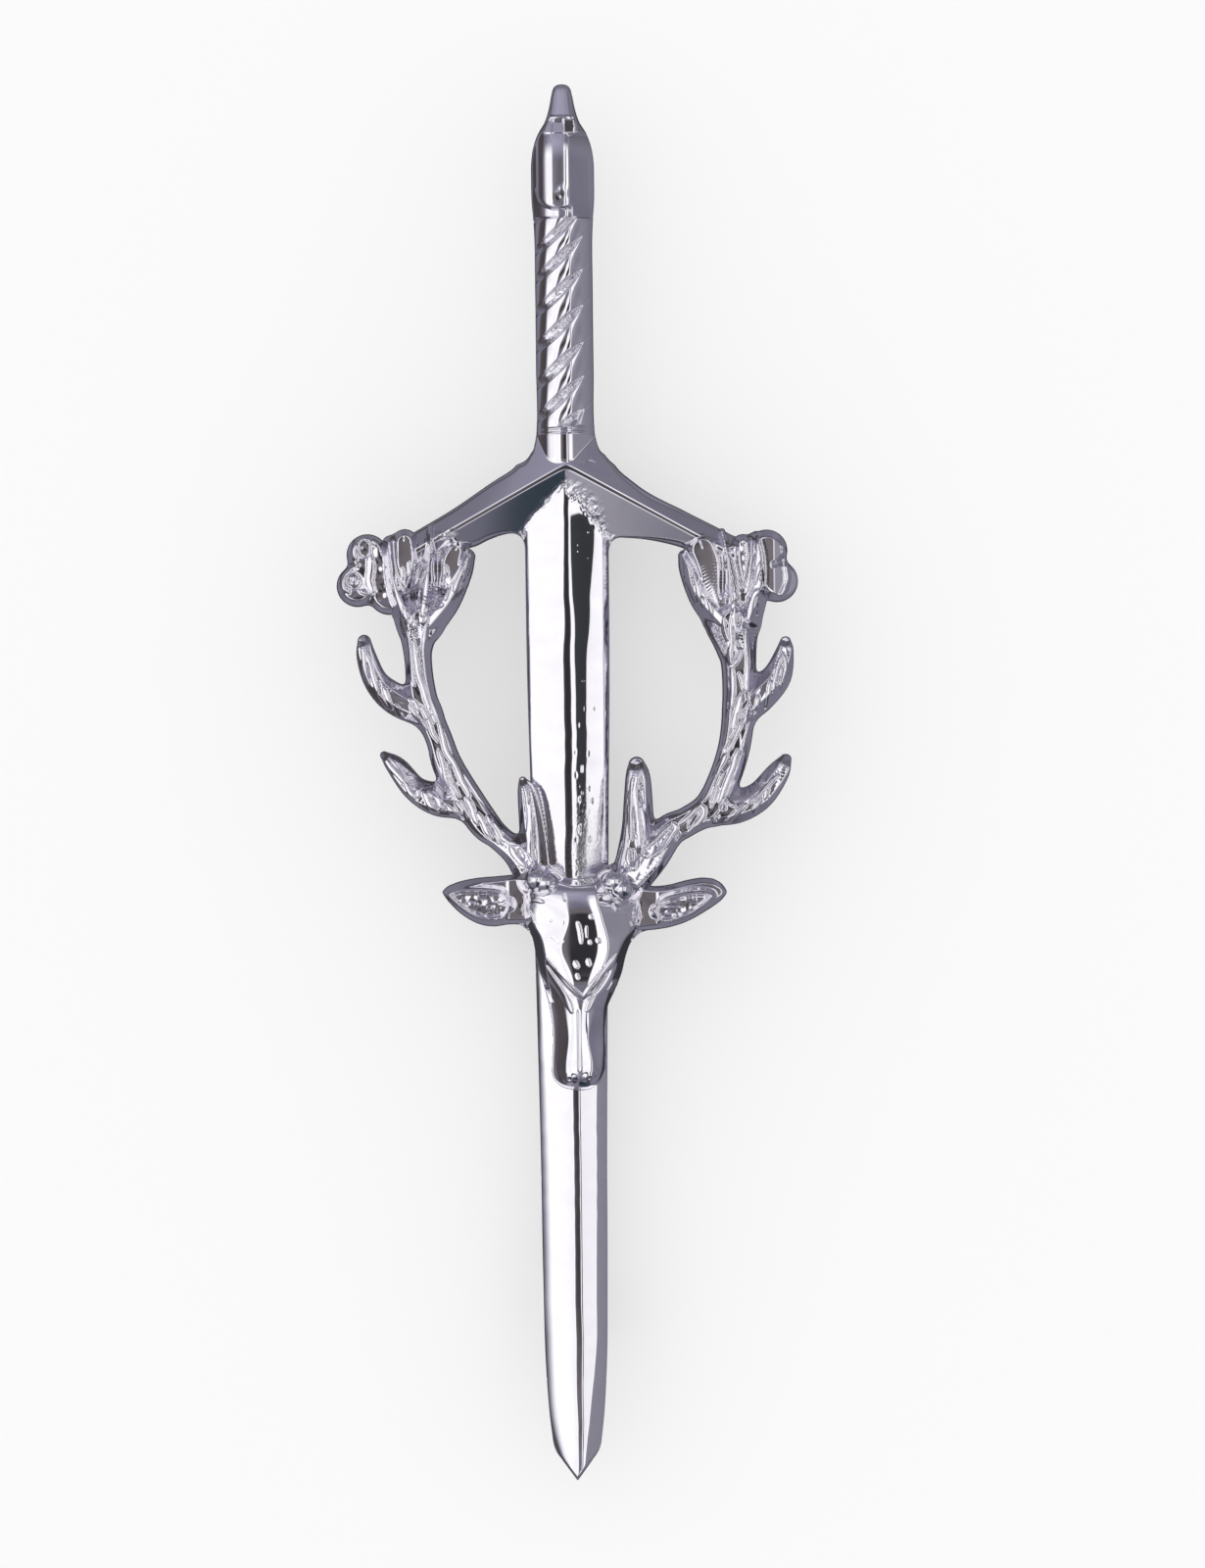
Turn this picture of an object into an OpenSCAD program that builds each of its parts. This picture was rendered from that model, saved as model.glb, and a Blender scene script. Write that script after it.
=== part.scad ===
// Kilt pin: a sword with drooping guard arms and a stag's head across its blade, cast in one
// piece with a flat back, and a plain brooch pin soldered behind it.
// It lies on its back. The front faces +Z, the hilt points to +Y, and the feet of the brooch
// pin stand on the plane Z = 0. Thicknesses of the casting are measured up from its flat back.

/* [Hilt] */
// Length of the button on top of the pommel
finial_length = 2.7; // [1.5:0.1:4]
// Width of the button at its foot
finial_width = 2.4; // [1.6:0.1:3.2]
// Thickness of the button
finial_thickness = 2.2; // [1.4:0.1:3]
// Length of the pommel
pommel_length = 7.1; // [5:0.1:10]
// Width of the pommel
pommel_width = 4.6; // [3.6:0.1:6]
// Thickness of the pommel
pommel_thickness = 3.4; // [2.4:0.1:4.4]
// Length of the twisted grip
grip_length = 15.8; // [11:0.1:21]
// Width of the twisted grip
grip_width = 4.2; // [3.4:0.1:5.4]
// Thickness of the twisted grip
grip_thickness = 2.9; // [2.2:0.1:3.6]
// Number of flutes round the whole twist
flute_count = 5; // [4:1:8]
// Distance between flutes, measured along the grip
flute_pitch = 2.5; // [1.8:0.1:3.4]
// Depth of the flutes
flute_depth = 0.4; // [0.1:0.05:0.6]
// Width of plain side wall that stands outside the flutes
grip_wall = 0.25; // [0.1:0.05:0.5]
// Distance from the middle of the guard to the foot of the grip
collar_length = 3.1; // [2.2:0.1:4.4]
// Width of the collar
collar_width = 4.3; // [3.4:0.1:5.6]
// Thickness of the collar
collar_thickness = 3.1; // [2.2:0.1:4]

/* [Guard] */
// Distance from the sword's axis to the middle of each four-lobed end
guard_reach = 13.8; // [11:0.1:17]
// Angle by which the arms droop
guard_droop = 26; // [15:1:35]
// Width of an arm where it leaves the blade
arm_root_width = 5.6; // [4:0.1:7]
// Width of an arm where it meets its lobes
arm_end_width = 1.9; // [1.2:0.1:3]
// Thickness of the arms along their ridge
arm_thickness = 3.2; // [2.2:0.1:4.2]
// Distance of each lobe from the middle of its four
lobe_throw = 1.7; // [1.2:0.1:2.4]
// Diameter of each lobe
lobe_diameter = 3.1; // [2.4:0.1:4]
// Thickness of the lobes
lobe_thickness = 2.8; // [2:0.1:3.8]
// Diameter of the hollow in each lobe
lobe_hollow_diameter = 1.5; // [0.8:0.1:2]
// Depth of the hollow in each lobe
lobe_hollow_depth = 0.8; // [0.2:0.1:1.4]

/* [Blade] */
// Length from the middle of the guard to the point
blade_length = 73.1; // [60:0.1:90]
// Width of the blade at the guard
blade_width = 6.1; // [4.8:0.1:7.6]
// Width of the blade at the shoulders of its point
blade_end_width = 3.5; // [2.6:0.1:4.6]
// Thickness of the blade along its ridge
blade_thickness = 2.4; // [1.8:0.1:3.4]
// Length of the point
point_length = 2.5; // [1.5:0.1:5]

/* [Stag head] */
// Distance from the middle of the guard down to the burrs of the antlers
head_drop = 29.8; // [27:0.1:34]
// Distance by which the head sits to the right of the sword's axis
head_offset = 0.9; // [0:0.1:1.5]
// Angle by which the nose swings to the left
head_lean = 1.8; // [0:0.2:4]
// Length from the burrs to the end of the nose
head_length = 14.8; // [12:0.1:18]
// Width across the cheeks
head_width = 7.6; // [6:0.1:9.4]
// Thickness at the forehead
head_thickness = 5.6; // [4.4:0.1:7]
// Width of each raised line of the brow
brow_width = 0.7; // [0.4:0.1:1.2]
// Height of the brow lines and nostrils over the face
brow_rise = 0.35; // [0.1:0.05:0.8]
// Distance of each burr from the head's middle line
burr_throw = 2.9; // [2.2:0.1:3.6]
// Diameter of the burr at the foot of each antler
burr_diameter = 2.2; // [1.4:0.1:3]
// Length of an ear
ear_length = 7.0; // [5:0.1:9]
// Width of an ear
ear_width = 3.5; // [2.6:0.1:4.8]
// Thickness of an ear
ear_thickness = 3.0; // [2:0.1:4]
// Distance of each ear's root from the head's middle line
ear_throw = 3.4; // [2.6:0.1:4.2]
// Angle by which the left ear rises
left_ear_rise = 4; // [-5:1:20]
// Angle by which the right ear rises
right_ear_rise = 11; // [-5:1:20]
// Width of the rim round the hollow of an ear
ear_rim = 0.55; // [0.3:0.05:0.9]
// Depth of the hollow of an ear
ear_hollow_depth = 1.1; // [0.3:0.1:1.6]

/* [Antlers] */
// Reach of the antlers to each side of the head's middle line
antler_reach = 16; // [12:0.1:19]
// Rise of the antlers above their burrs
antler_rise = 26; // [22:0.1:30]
// Width of the main beams
beam_width = 2.2; // [1.6:0.1:3]
// Width of the tines at their roots
tine_width = 2.0; // [1.4:0.1:2.8]
// Thickness of the antlers
antler_thickness = 3.2; // [2.4:0.1:4.2]
// Thickness of the webs in the forks and between the tines of the crowns
web_thickness = 2.4; // [1.6:0.1:3.2]
// Draft of the side walls of antlers, lobes and ears, as a width seen from above
wall_draft = 0.4; // [0.1:0.05:0.6]

/* [Brooch pin] */
// Clear height for cloth between the wire and the flat back
cloth_gap = 4.3; // [4.1:0.1:7]
// Diameter of the wire
wire_diameter = 1.2; // [0.9:0.1:1.8]
// Length of the wire's sharpened end
wire_point_length = 4; // [2:0.5:7]
// Length of wire that stands out past the catch
wire_overhang = 1.4; // [0.4:0.1:3]
// Width of the hinge and the catch
fitting_width = 4.4; // [3.6:0.1:4.6]
// Length of the hinge and the catch along the sword
fitting_length = 4.6; // [3.4:0.1:6]
// Thickness of the sheet that both are bent from
sheet_thickness = 0.7; // [0.5:0.05:1]
// Distance from the middle of the guard down to the middle of the hinge
hinge_drop = 0.6; // [0:0.1:4]
// Distance from the point up to the middle of the catch
catch_inset = 12.5; // [8:0.1:20]
// Depth by which the wire is let into the floor of the catch
wire_seat = 0.1; // [0.05:0.01:0.2]
// Film of solder between the fittings and the flat back
solder_gap = 0.02; // [0.01:0.01:0.06]

/* [Hidden] */

// Facets round a free form, such as a station of an antler
form_sides = 14;
// Facets round a lobe of the guard
lobe_sides = 24;
// Length of a section at which one form joins the next
slice = 0.01;
// Depth at which every form of the casting starts below the flat back, where one cut ends them all
root = 0.4;

hilt_length = collar_length + grip_length + pommel_length + finial_length;
// Height of the middle of the guard, with the whole length centred on the origin
guard_y = (blade_length - hilt_length) / 2;
point_y = guard_y - blade_length;
burr_y = guard_y - head_drop;
wire_z = sheet_thickness - wire_seat + wire_diameter / 2;
back_z = wire_z + wire_diameter / 2 + cloth_gap;
hinge_y = guard_y - hinge_drop;
catch_y = point_y + catch_inset;

// Columns of the tables of bars: place along the bar, width, thickness
FINIAL = [
    [0.00, 1.00, 1.00],
    [0.70, 0.66, 0.92],
    [1.00, 0.46, 0.62],
];
POMMEL = [
    [0.00, 0.92, 0.82],
    [0.12, 1.00, 0.98],
    [0.58, 1.00, 1.00],
    [0.73, 0.94, 0.95],
    [0.87, 0.78, 0.82],
    [1.00, 0.54, 0.68],
];
COLLAR = [
    [0.00, 1.00, 1.00],
    [0.80, 0.96, 0.94],
    [1.00, 1.00, 0.98],
];
// Columns: place along the arm, share of the root's extra width, thickness. The arm starts behind
// the sword's axis, where it is cut to a mitre.
ARM = [
    [-0.20, 1.00, 1.00],
    [0.00, 1.00, 1.00],
    [0.38, 0.46, 0.98],
    [0.62, 0.18, 0.92],
    [1.00, 0.00, 0.80],
];
// Columns: place along the edges, share of the taper that is still to come, thickness
BLADE = [
    [0.00, 1.00, 1.00],
    [0.21, 0.95, 1.00],
    [0.45, 0.73, 0.97],
    [0.70, 0.52, 0.93],
    [0.90, 0.35, 0.90],
    [1.00, 0.00, 0.86],
];
// Columns: place along the ear, width, thickness
EAR = [
    [0.00, 0.80, 0.95],
    [0.25, 1.00, 1.00],
    [0.55, 0.98, 0.95],
    [0.78, 0.74, 0.86],
    [0.93, 0.38, 0.76],
    [1.00, 0.12, 0.70],
];
// Columns: place below the burrs, width, thickness, share of the width that is flat on top
HEAD = [
    [-0.05, 0.56, 0.66, 0.80],
    [0.05, 0.92, 0.86, 0.62],
    [0.20, 1.00, 0.96, 0.60],
    [0.33, 0.87, 1.00, 0.58],
    [0.49, 0.68, 0.90, 0.46],
    [0.59, 0.56, 0.78, 0.28],
    [0.72, 0.49, 0.72, 0.26],
    [0.86, 0.50, 0.75, 0.38],
    [0.94, 0.46, 0.75, 0.54],
    [1.00, 0.25, 0.54, 0.50],
];

// Columns of the tables of antlers: out to the side, up from the burr, width, thickness
LEFT_BEAM = [
    [0.20, 0.01, 1.35, 1.30],
    [0.29, 0.09, 1.00, 1.12],
    [0.38, 0.14, 0.85, 1.00],
    [0.46, 0.19, 1.05, 1.00],
    [0.60, 0.33, 1.02, 1.00],
    [0.65, 0.42, 0.88, 0.97],
    [0.72, 0.53, 0.96, 1.00],
    [0.74, 0.64, 0.90, 1.03],
    [0.74, 0.70, 1.12, 1.12],
    [0.73, 0.75, 1.55, 1.20],
];
RIGHT_BEAM = [
    [0.20, 0.01, 1.35, 1.30],
    [0.31, 0.08, 1.15, 1.12],
    [0.39, 0.15, 1.10, 1.00],
    [0.48, 0.18, 0.98, 1.00],
    [0.58, 0.22, 1.05, 1.00],
    [0.65, 0.30, 1.05, 1.00],
    [0.70, 0.40, 1.06, 1.00],
    [0.72, 0.52, 1.10, 1.02],
    [0.72, 0.62, 1.16, 1.06],
    [0.71, 0.67, 1.36, 1.12],
    [0.69, 0.74, 1.80, 1.20],
];
LEFT_TINES = [
    // Brow tine
    [[0.22, 0.05, 1.05, 1.15], [0.23, 0.16, 0.92, 1.05], [0.25, 0.26, 0.70, 0.95], [0.27, 0.30, 0.28, 0.80]],
    // Lower outer tine
    [[0.55, 0.24, 1.20, 0.98], [0.66, 0.25, 1.20, 0.96], [0.76, 0.28, 0.92, 0.90], [0.84, 0.34, 0.75, 0.82],
     [0.90, 0.375, 0.30, 0.70]],
    // Upper outer tine
    [[0.71, 0.49, 1.05, 1.00], [0.84, 0.53, 1.15, 0.95], [0.93, 0.58, 0.90, 0.90], [0.975, 0.65, 0.72, 0.82],
     [0.985, 0.695, 0.48, 0.72]],
    // Outer, middle and inner tines of the crown
    [[0.76, 0.74, 1.05, 1.18], [0.825, 0.81, 0.88, 1.20], [0.86, 0.91, 0.68, 1.22], [0.865, 0.97, 0.50, 1.18]],
    [[0.72, 0.75, 1.05, 1.20], [0.70, 0.87, 0.74, 1.24], [0.68, 0.97, 0.52, 1.22], [0.67, 1.015, 0.26, 1.15]],
    [[0.69, 0.74, 1.05, 1.18], [0.61, 0.80, 0.98, 1.18], [0.54, 0.88, 0.78, 1.12], [0.50, 0.93, 0.42, 1.05]],
];
RIGHT_TINES = [
    // Brow tine
    [[0.22, 0.05, 1.25, 1.15], [0.25, 0.15, 1.18, 1.08], [0.255, 0.24, 1.05, 1.00], [0.255, 0.305, 0.90, 0.92],
     [0.25, 0.34, 0.60, 0.80]],
    // Lower outer tine
    [[0.61, 0.21, 1.15, 0.98], [0.71, 0.22, 1.20, 0.96], [0.81, 0.25, 1.05, 0.90], [0.89, 0.31, 0.84, 0.82],
     [0.93, 0.35, 0.42, 0.70]],
    // Upper outer tine
    [[0.74, 0.49, 1.15, 1.02], [0.82, 0.535, 1.25, 0.98], [0.895, 0.585, 1.05, 0.92], [0.93, 0.65, 0.66, 0.84],
     [0.935, 0.68, 0.40, 0.74]],
    // Outer, middle and inner tines of the crown
    [[0.76, 0.74, 1.05, 1.18], [0.805, 0.83, 0.92, 1.20], [0.815, 0.91, 0.80, 1.22], [0.81, 0.97, 0.56, 1.18]],
    [[0.70, 0.75, 1.00, 1.20], [0.685, 0.85, 0.66, 1.24], [0.67, 0.93, 0.48, 1.22], [0.65, 0.99, 0.26, 1.15]],
    [[0.65, 0.735, 1.05, 1.18], [0.56, 0.80, 0.90, 1.18], [0.50, 0.88, 0.70, 1.12], [0.47, 0.925, 0.32, 1.05]],
];

// Columns of the tables of webs: out to the side, up from the burr. A web is one hull of its rows.
LEFT_WEBS = [
    // Forks of the brow tine, the lower tine and the upper tine
    [[0.245, 0.14], [0.36, 0.14], [0.28, 0.07]],
    [[0.62, 0.335], [0.72, 0.29], [0.62, 0.26]],
    [[0.75, 0.575], [0.87, 0.545], [0.75, 0.51]],
    // Between the tines of the crown
    [[0.72, 0.75], [0.69, 0.91], [0.56, 0.88], [0.64, 0.78]],
    [[0.75, 0.75], [0.69, 0.93], [0.85, 0.92], [0.81, 0.80]],
];
RIGHT_WEBS = [
    // Forks of the brow tine, the lower tine and the upper tine
    [[0.275, 0.17], [0.39, 0.17], [0.30, 0.08]],
    [[0.69, 0.29], [0.79, 0.265], [0.68, 0.22]],
    [[0.76, 0.63], [0.86, 0.60], [0.76, 0.50]],
    // Between the tines of the crown
    [[0.70, 0.75], [0.67, 0.90], [0.53, 0.86], [0.60, 0.77]],
    [[0.72, 0.75], [0.67, 0.92], [0.80, 0.93], [0.78, 0.80]],
];

function mix(start, end, share) = start + (end - start) * share;

// A round post whose base is its width where it comes out of the flat back, drafted to its top.
module post(height, base, top, sides) {
    spread = (base - top) / height;
    translate([0, 0, -root])
        cylinder(h = height + root, d1 = base + spread * root, d2 = top, $fn = sides);
}

// A section across +Y that stands on the flat back. Its sides rise to a share of its height and
// lean in from there to a flat, or to a narrow ridge, along the top.
module section(y, width, height, side, flat) {
    half = width / 2;
    translate([0, y, 0])
        rotate([90, 0, 0])
            linear_extrude(slice, center = true)
                polygon([
                    [-half, -root],
                    [half, -root],
                    [half, side * height],
                    [flat * half, height],
                    [-flat * half, height],
                    [-half, side * height],
                ]);
}

// A bar along +Y whose rows give shares of one length, one width and one thickness.
module bar(rows, length, width, thickness, side, flat) {
    for (i = [0 : len(rows) - 2])
        hull()
            for (row = [rows[i], rows[i + 1]])
                section(row[0] * length, row[1] * width, row[2] * thickness, side, flat);
}

// A round station of an antler: drafted walls up to a shoulder, and a narrow crown.
module station(width, height) {
    post(0.72 * height, width, max(width - 2 * wall_draft, 0.4 * width), form_sides);
    post(height, 0.26 * width, 0.26 * width, form_sides);
}

// A beam or a tine: a hull between each two stations of its table.
module branch(rows, width) {
    for (i = [0 : len(rows) - 2])
        hull()
            for (row = [rows[i], rows[i + 1]])
                translate([row[0] * antler_reach, row[1] * antler_rise, 0])
                    station(row[2] * width, row[3] * antler_thickness);
}

// A low web with the outline of its table's rows.
module web(rows) {
    hull()
        for (row = rows)
            translate([row[0] * antler_reach, row[1] * antler_rise, 0])
                post(web_thickness, 0.5 * tine_width, 0.2 * tine_width, form_sides);
}

module antler(beam, tines, webs) {
    branch(beam, beam_width);
    for (tine = tines)
        branch(tine, tine_width);
    for (rows = webs)
        web(rows);
}

module finial() {
    bar(FINIAL, finial_length, finial_width, finial_thickness, 0.45, 0.45);
}

module pommel() {
    bar(POMMEL, pommel_length, pommel_width, pommel_thickness, 0.45, 0.5);
}

// The grip is a plain bar with upright sides, and a fluted round bar that is twisted stands out
// of its front. The axis of the twist lies above the flat back, which cuts it.
module grip() {
    radius = grip_width / 2 - grip_wall;
    points = 8 * flute_count;
    turn = -360 * grip_length / (flute_count * flute_pitch);
    groove_top = grip_thickness - 1.5 * flute_depth;
    bar([[0, 1, 1], [1, 1, 1]], grip_length, grip_width, groove_top, 0.5, 0.3);
    intersection() {
        translate([-grip_width, 0, grip_thickness - radius])
            cube([2 * grip_width, grip_length, 2 * radius]);
        translate([0, 0, grip_thickness - radius])
            rotate([-90, 0, 0])
                linear_extrude(grip_length, twist = turn, slices = ceil(grip_length / 0.7))
                    polygon([
                        for (i = [0 : points - 1])
                            let (angle = 360 * i / points)
                            let (reach = radius - flute_depth * (1 - cos(flute_count * angle)) / 2)
                            [reach * cos(angle), reach * sin(angle)]
                    ]);
    }
}

module collar() {
    bar(COLLAR, collar_length, collar_width, collar_thickness, 0.5, 0.35);
}

module lobe() {
    difference() {
        post(lobe_thickness, lobe_diameter, lobe_diameter - 2 * wall_draft, lobe_sides);
        translate([0, 0, lobe_thickness - lobe_hollow_depth])
            cylinder(h = lobe_thickness, d1 = 0.7 * lobe_hollow_diameter, d2 = 1.9 * lobe_hollow_diameter,
                $fn = lobe_sides);
    }
}

// Four lobes in a cross that lies along the arm. The middle block is kept below the hollows.
module quatrefoil() {
    for (turn = [0 : 90 : 270])
        rotate(turn)
            translate([lobe_throw, 0, 0])
                lobe();
    post(0.8 * lobe_thickness, 1.5 * lobe_throw, 1.5 * lobe_throw, form_sides);
}

// One arm of the guard with its four lobes, to the right of the axis. Past the axis the arm is
// cut away, so that its ridge and the other arm's meet in a mitre.
module arm() {
    length = guard_reach / cos(guard_droop);
    intersection() {
        translate([-slice, -2 * guard_reach, -2 * root])
            cube([2 * guard_reach, 4 * guard_reach, 2 * root + 2 * arm_thickness]);
        rotate(-90 - guard_droop)
            for (i = [0 : len(ARM) - 2])
                hull()
                    for (row = [ARM[i], ARM[i + 1]])
                        section(row[0] * length, mix(arm_end_width, arm_root_width, row[1]),
                            row[2] * arm_thickness, 0.4, 0.1);
    }
    rotate(-90 - guard_droop)
        translate([0, length, 0])
            quatrefoil();
}

module guard() {
    arm();
    mirror([1, 0, 0])
        arm();
}

module blade() {
    edge_length = blade_length - point_length;
    side = 0.42;
    flat = 0.08;
    rotate(180) {
        for (i = [0 : len(BLADE) - 2])
            hull()
                for (row = [BLADE[i], BLADE[i + 1]])
                    section(row[0] * edge_length, mix(blade_end_width, blade_width, row[1]),
                        row[2] * blade_thickness, side, flat);
        hull() {
            section(edge_length, blade_end_width, BLADE[len(BLADE) - 1][2] * blade_thickness, side, flat);
            section(blade_length, slice, 0.4 * blade_thickness, side, flat);
        }
    }
}

// The face: a bar down from the burrs whose flat top narrows to the bridge of the nose.
module face() {
    rotate(180)
        for (i = [0 : len(HEAD) - 2])
            hull()
                for (row = [HEAD[i], HEAD[i + 1]])
                    section(row[0] * head_length, row[1] * head_width, row[2] * head_thickness, 0.45, row[3]);
}

// The raised lines that run from the cheeks and meet over the nose.
module brow() {
    places = [
        [0.33 * head_width, -0.29 * head_length, 0.92 * head_thickness],
        [0.22 * head_width, -0.44 * head_length, 0.90 * head_thickness],
        [0, -0.58 * head_length, 0.79 * head_thickness],
    ];
    for (side = [0, 1])
        mirror([side, 0, 0])
            for (i = [0, 1])
                hull()
                    for (place = [places[i], places[i + 1]])
                        translate([place[0], place[1], 0])
                            post(place[2] + brow_rise, 2 * brow_width, brow_width, form_sides);
}

module nostrils() {
    for (side = [-1, 1])
        translate([side * 0.09 * head_width, -0.925 * head_length, 0])
            post(0.75 * head_thickness + brow_rise, 0.24 * head_width, 0.08 * head_width, form_sides);
}

module burrs() {
    for (side = [-1, 1])
        translate([side * burr_throw, 0, 0])
            post(0.88 * head_thickness, 1.3 * burr_diameter, 0.6 * burr_diameter, form_sides);
}

// An ear that lies along +Y from its root, with a hollow inside its rim.
module ear() {
    difference() {
        bar(EAR, ear_length, ear_width, ear_thickness, 0.55, 0.72);
        translate([0, 2 * ear_rim, ear_thickness - ear_hollow_depth])
            bar(EAR, ear_length - 3.5 * ear_rim, ear_width - 3.4 * ear_rim, ear_thickness, 0, 1.45);
    }
}

module ears() {
    ear_y = -0.09 * head_length;
    translate([ear_throw, ear_y, 0])
        rotate(-90 + right_ear_rise)
            ear();
    translate([-ear_throw, ear_y, 0])
        rotate(90 - left_ear_rise)
            ear();
}

module stag_head() {
    translate([head_offset, burr_y, 0]) {
        rotate(-head_lean) {
            face();
            brow();
            nostrils();
            ears();
        }
        burrs();
        antler(RIGHT_BEAM, RIGHT_TINES, RIGHT_WEBS);
        mirror([1, 0, 0])
            antler(LEFT_BEAM, LEFT_TINES, LEFT_WEBS);
    }
}

module sword() {
    translate([0, guard_y, 0]) {
        blade();
        guard();
        collar();
        translate([0, collar_length, 0]) {
            grip();
            translate([0, grip_length, 0]) {
                pommel();
                translate([0, pommel_length, 0])
                    finial();
            }
        }
    }
}

// The whole casting, cut off flat at its back
module sword_casting() {
    width = 4 * (guard_reach + antler_reach);
    length = 2 * (hilt_length + blade_length);
    color([0.78, 0.78, 0.81])
        translate([0, 0, back_z])
            intersection() {
                union() {
                    sword();
                    stag_head();
                }
                translate([-width / 2, -length / 2, 0])
                    cube([width, length, 4 * head_thickness]);
            }
}

// The plate of a fitting against the flat back, from its own middle
module fitting_plate() {
    translate([-fitting_width / 2, -fitting_length / 2, back_z - solder_gap - sheet_thickness])
        cube([fitting_width, fitting_length, sheet_thickness]);
}

// Two cheeks that stand on the floor, with the barrel that the wire is wound on between them
module hinge() {
    cheek_height = back_z - solder_gap - sheet_thickness / 2;
    fitting_plate();
    for (side = [-1, 1])
        translate([side * (fitting_width - sheet_thickness) / 2 - sheet_thickness / 2,
                -fitting_length / 2, 0])
            cube([sheet_thickness, fitting_length, cheek_height]);
    translate([-fitting_width / 2 + sheet_thickness / 2, 0, wire_z])
        rotate([0, 90, 0])
            cylinder(h = fitting_width - sheet_thickness, d = 1.7 * wire_diameter, $fn = 48);
}

// A hook: one wall down from the plate, a floor under the wire and a low lip beside it
module catch() {
    wall_height = back_z - solder_gap - sheet_thickness / 2;
    lip_height = wire_z + wire_diameter / 2;
    left = -fitting_width / 2;
    front = -fitting_length / 2;
    fitting_plate();
    translate([left, front, 0])
        cube([fitting_width, fitting_length, sheet_thickness]);
    translate([-left - sheet_thickness, front, 0])
        cube([sheet_thickness, fitting_length, wall_height]);
    translate([left, front, 0])
        cube([sheet_thickness, fitting_length, lip_height]);
}

module brooch_pin() {
    catch_end = catch_y - fitting_length / 2 - wire_overhang;
    shank_end = catch_end + wire_point_length;
    color([0.72, 0.72, 0.74]) {
        translate([0, hinge_y, 0])
            hinge();
        translate([0, catch_y, 0])
            catch();
        translate([0, hinge_y, wire_z])
            rotate([90, 0, 0])
                cylinder(h = hinge_y - shank_end, d = wire_diameter, $fn = 48);
        translate([0, shank_end, wire_z])
            rotate([90, 0, 0])
                cylinder(h = wire_point_length, d1 = wire_diameter, d2 = 0.25 * wire_diameter, $fn = 48);
    }
}

sword_casting();
brooch_pin();
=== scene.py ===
"""Looks of the kilt pin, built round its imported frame.

Every form of the casting is a relief over the plan: a height above the flat back, worked out for a
whole grid of plan points at once. Lengths are in millimetres until a mesh is made.
x runs to the viewer's right, y towards the pommel, and heights rise out of the front.
"""
from functools import partial

import bmesh
import bpy
import numpy as np
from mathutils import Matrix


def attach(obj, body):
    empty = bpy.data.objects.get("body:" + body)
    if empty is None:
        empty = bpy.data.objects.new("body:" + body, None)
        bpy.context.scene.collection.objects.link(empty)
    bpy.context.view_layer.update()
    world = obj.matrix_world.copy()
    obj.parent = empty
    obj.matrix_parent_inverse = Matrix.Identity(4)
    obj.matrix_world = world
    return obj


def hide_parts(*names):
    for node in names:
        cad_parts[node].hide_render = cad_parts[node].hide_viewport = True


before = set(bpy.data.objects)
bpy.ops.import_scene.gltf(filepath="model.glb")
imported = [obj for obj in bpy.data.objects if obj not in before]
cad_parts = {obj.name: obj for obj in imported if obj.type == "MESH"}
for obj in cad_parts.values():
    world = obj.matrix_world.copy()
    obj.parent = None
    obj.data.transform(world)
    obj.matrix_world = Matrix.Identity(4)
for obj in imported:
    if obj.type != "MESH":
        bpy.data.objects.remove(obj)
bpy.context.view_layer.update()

MM = 0.001
# Height of the casting's flat back over the floor
BACK = 6.1
POINT_Y = -50.9
# Where the guard's outline takes in the hilt's, and where the hilt's own mesh starts
HILT_FOOT = 24.2
HILT_START = 25.35
# The middle line of the head, the height of its burrs along y, and the sizes that the antlers'
# tables are shares of
HEAD_X = 0.9
BURR_Y = -7.6
ANTLER_REACH = 16.0
ANTLER_RISE = 26.0
ANTLER_THICKNESS = 3.2
BEAM_WIDTH = 2.2
TINE_WIDTH = 2.0
# Points each way on the lattice of random heights
LATTICE = 128
# How far to each side an outline's slope is measured
NEAR = 0.01
# Shares of a grid square: points less far inside or outside an outline are moved onto it
SNAP_IN, SNAP_OUT = 0.29, 0.7
# How steeply the side walls lean in, and how high the antlers' walls are at their outline
WALL_LEAN = 2.7
ANTLER_WALL = 1.85
# How far a form over the sword goes on past its outline, and how far under the front it ends
OVERLAP, DIP = 0.42, 0.014
# Distance out where a form isn't worked out, height where a form is absent, and the low ground
# that an antler's strokes rise from
FAR_OUT, ABSENT, GROUND = 9.0, -1.0, 0.5


# Shapes of one and two parameters

def ramp(value, start, end):
    """0 before start, 1 after end, and a smooth step 3t^2 - 2t^3 between them."""
    t = np.clip((value - start) / (end - start), 0, 1)
    return t * t * (3 - 2 * t)


def hump(value, middle, half_width):
    """A rounded hump of height 1: the square of 1 - (distance / half width)^2, and 0 outside."""
    t = 1 - ((value - middle) / half_width) ** 2
    return np.where(t > 0, t, 0) ** 2


def spot(x, y, middle_x, middle_y, radius):
    """A rounded hump of height 1 round a point of the plan."""
    return hump(np.hypot(x - middle_x, y - middle_y), 0, radius)


def either(a, b, rounding):
    """The larger of a and b, with the crease filled where they differ by less than rounding."""
    gap = np.maximum(rounding - np.abs(a - b), 0)
    return np.maximum(a, b) + gap * gap / (4 * rounding)


def both(a, b, rounding):
    """The smaller of a and b, with the crease rounded off."""
    return -either(-a, -b, rounding)


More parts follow.
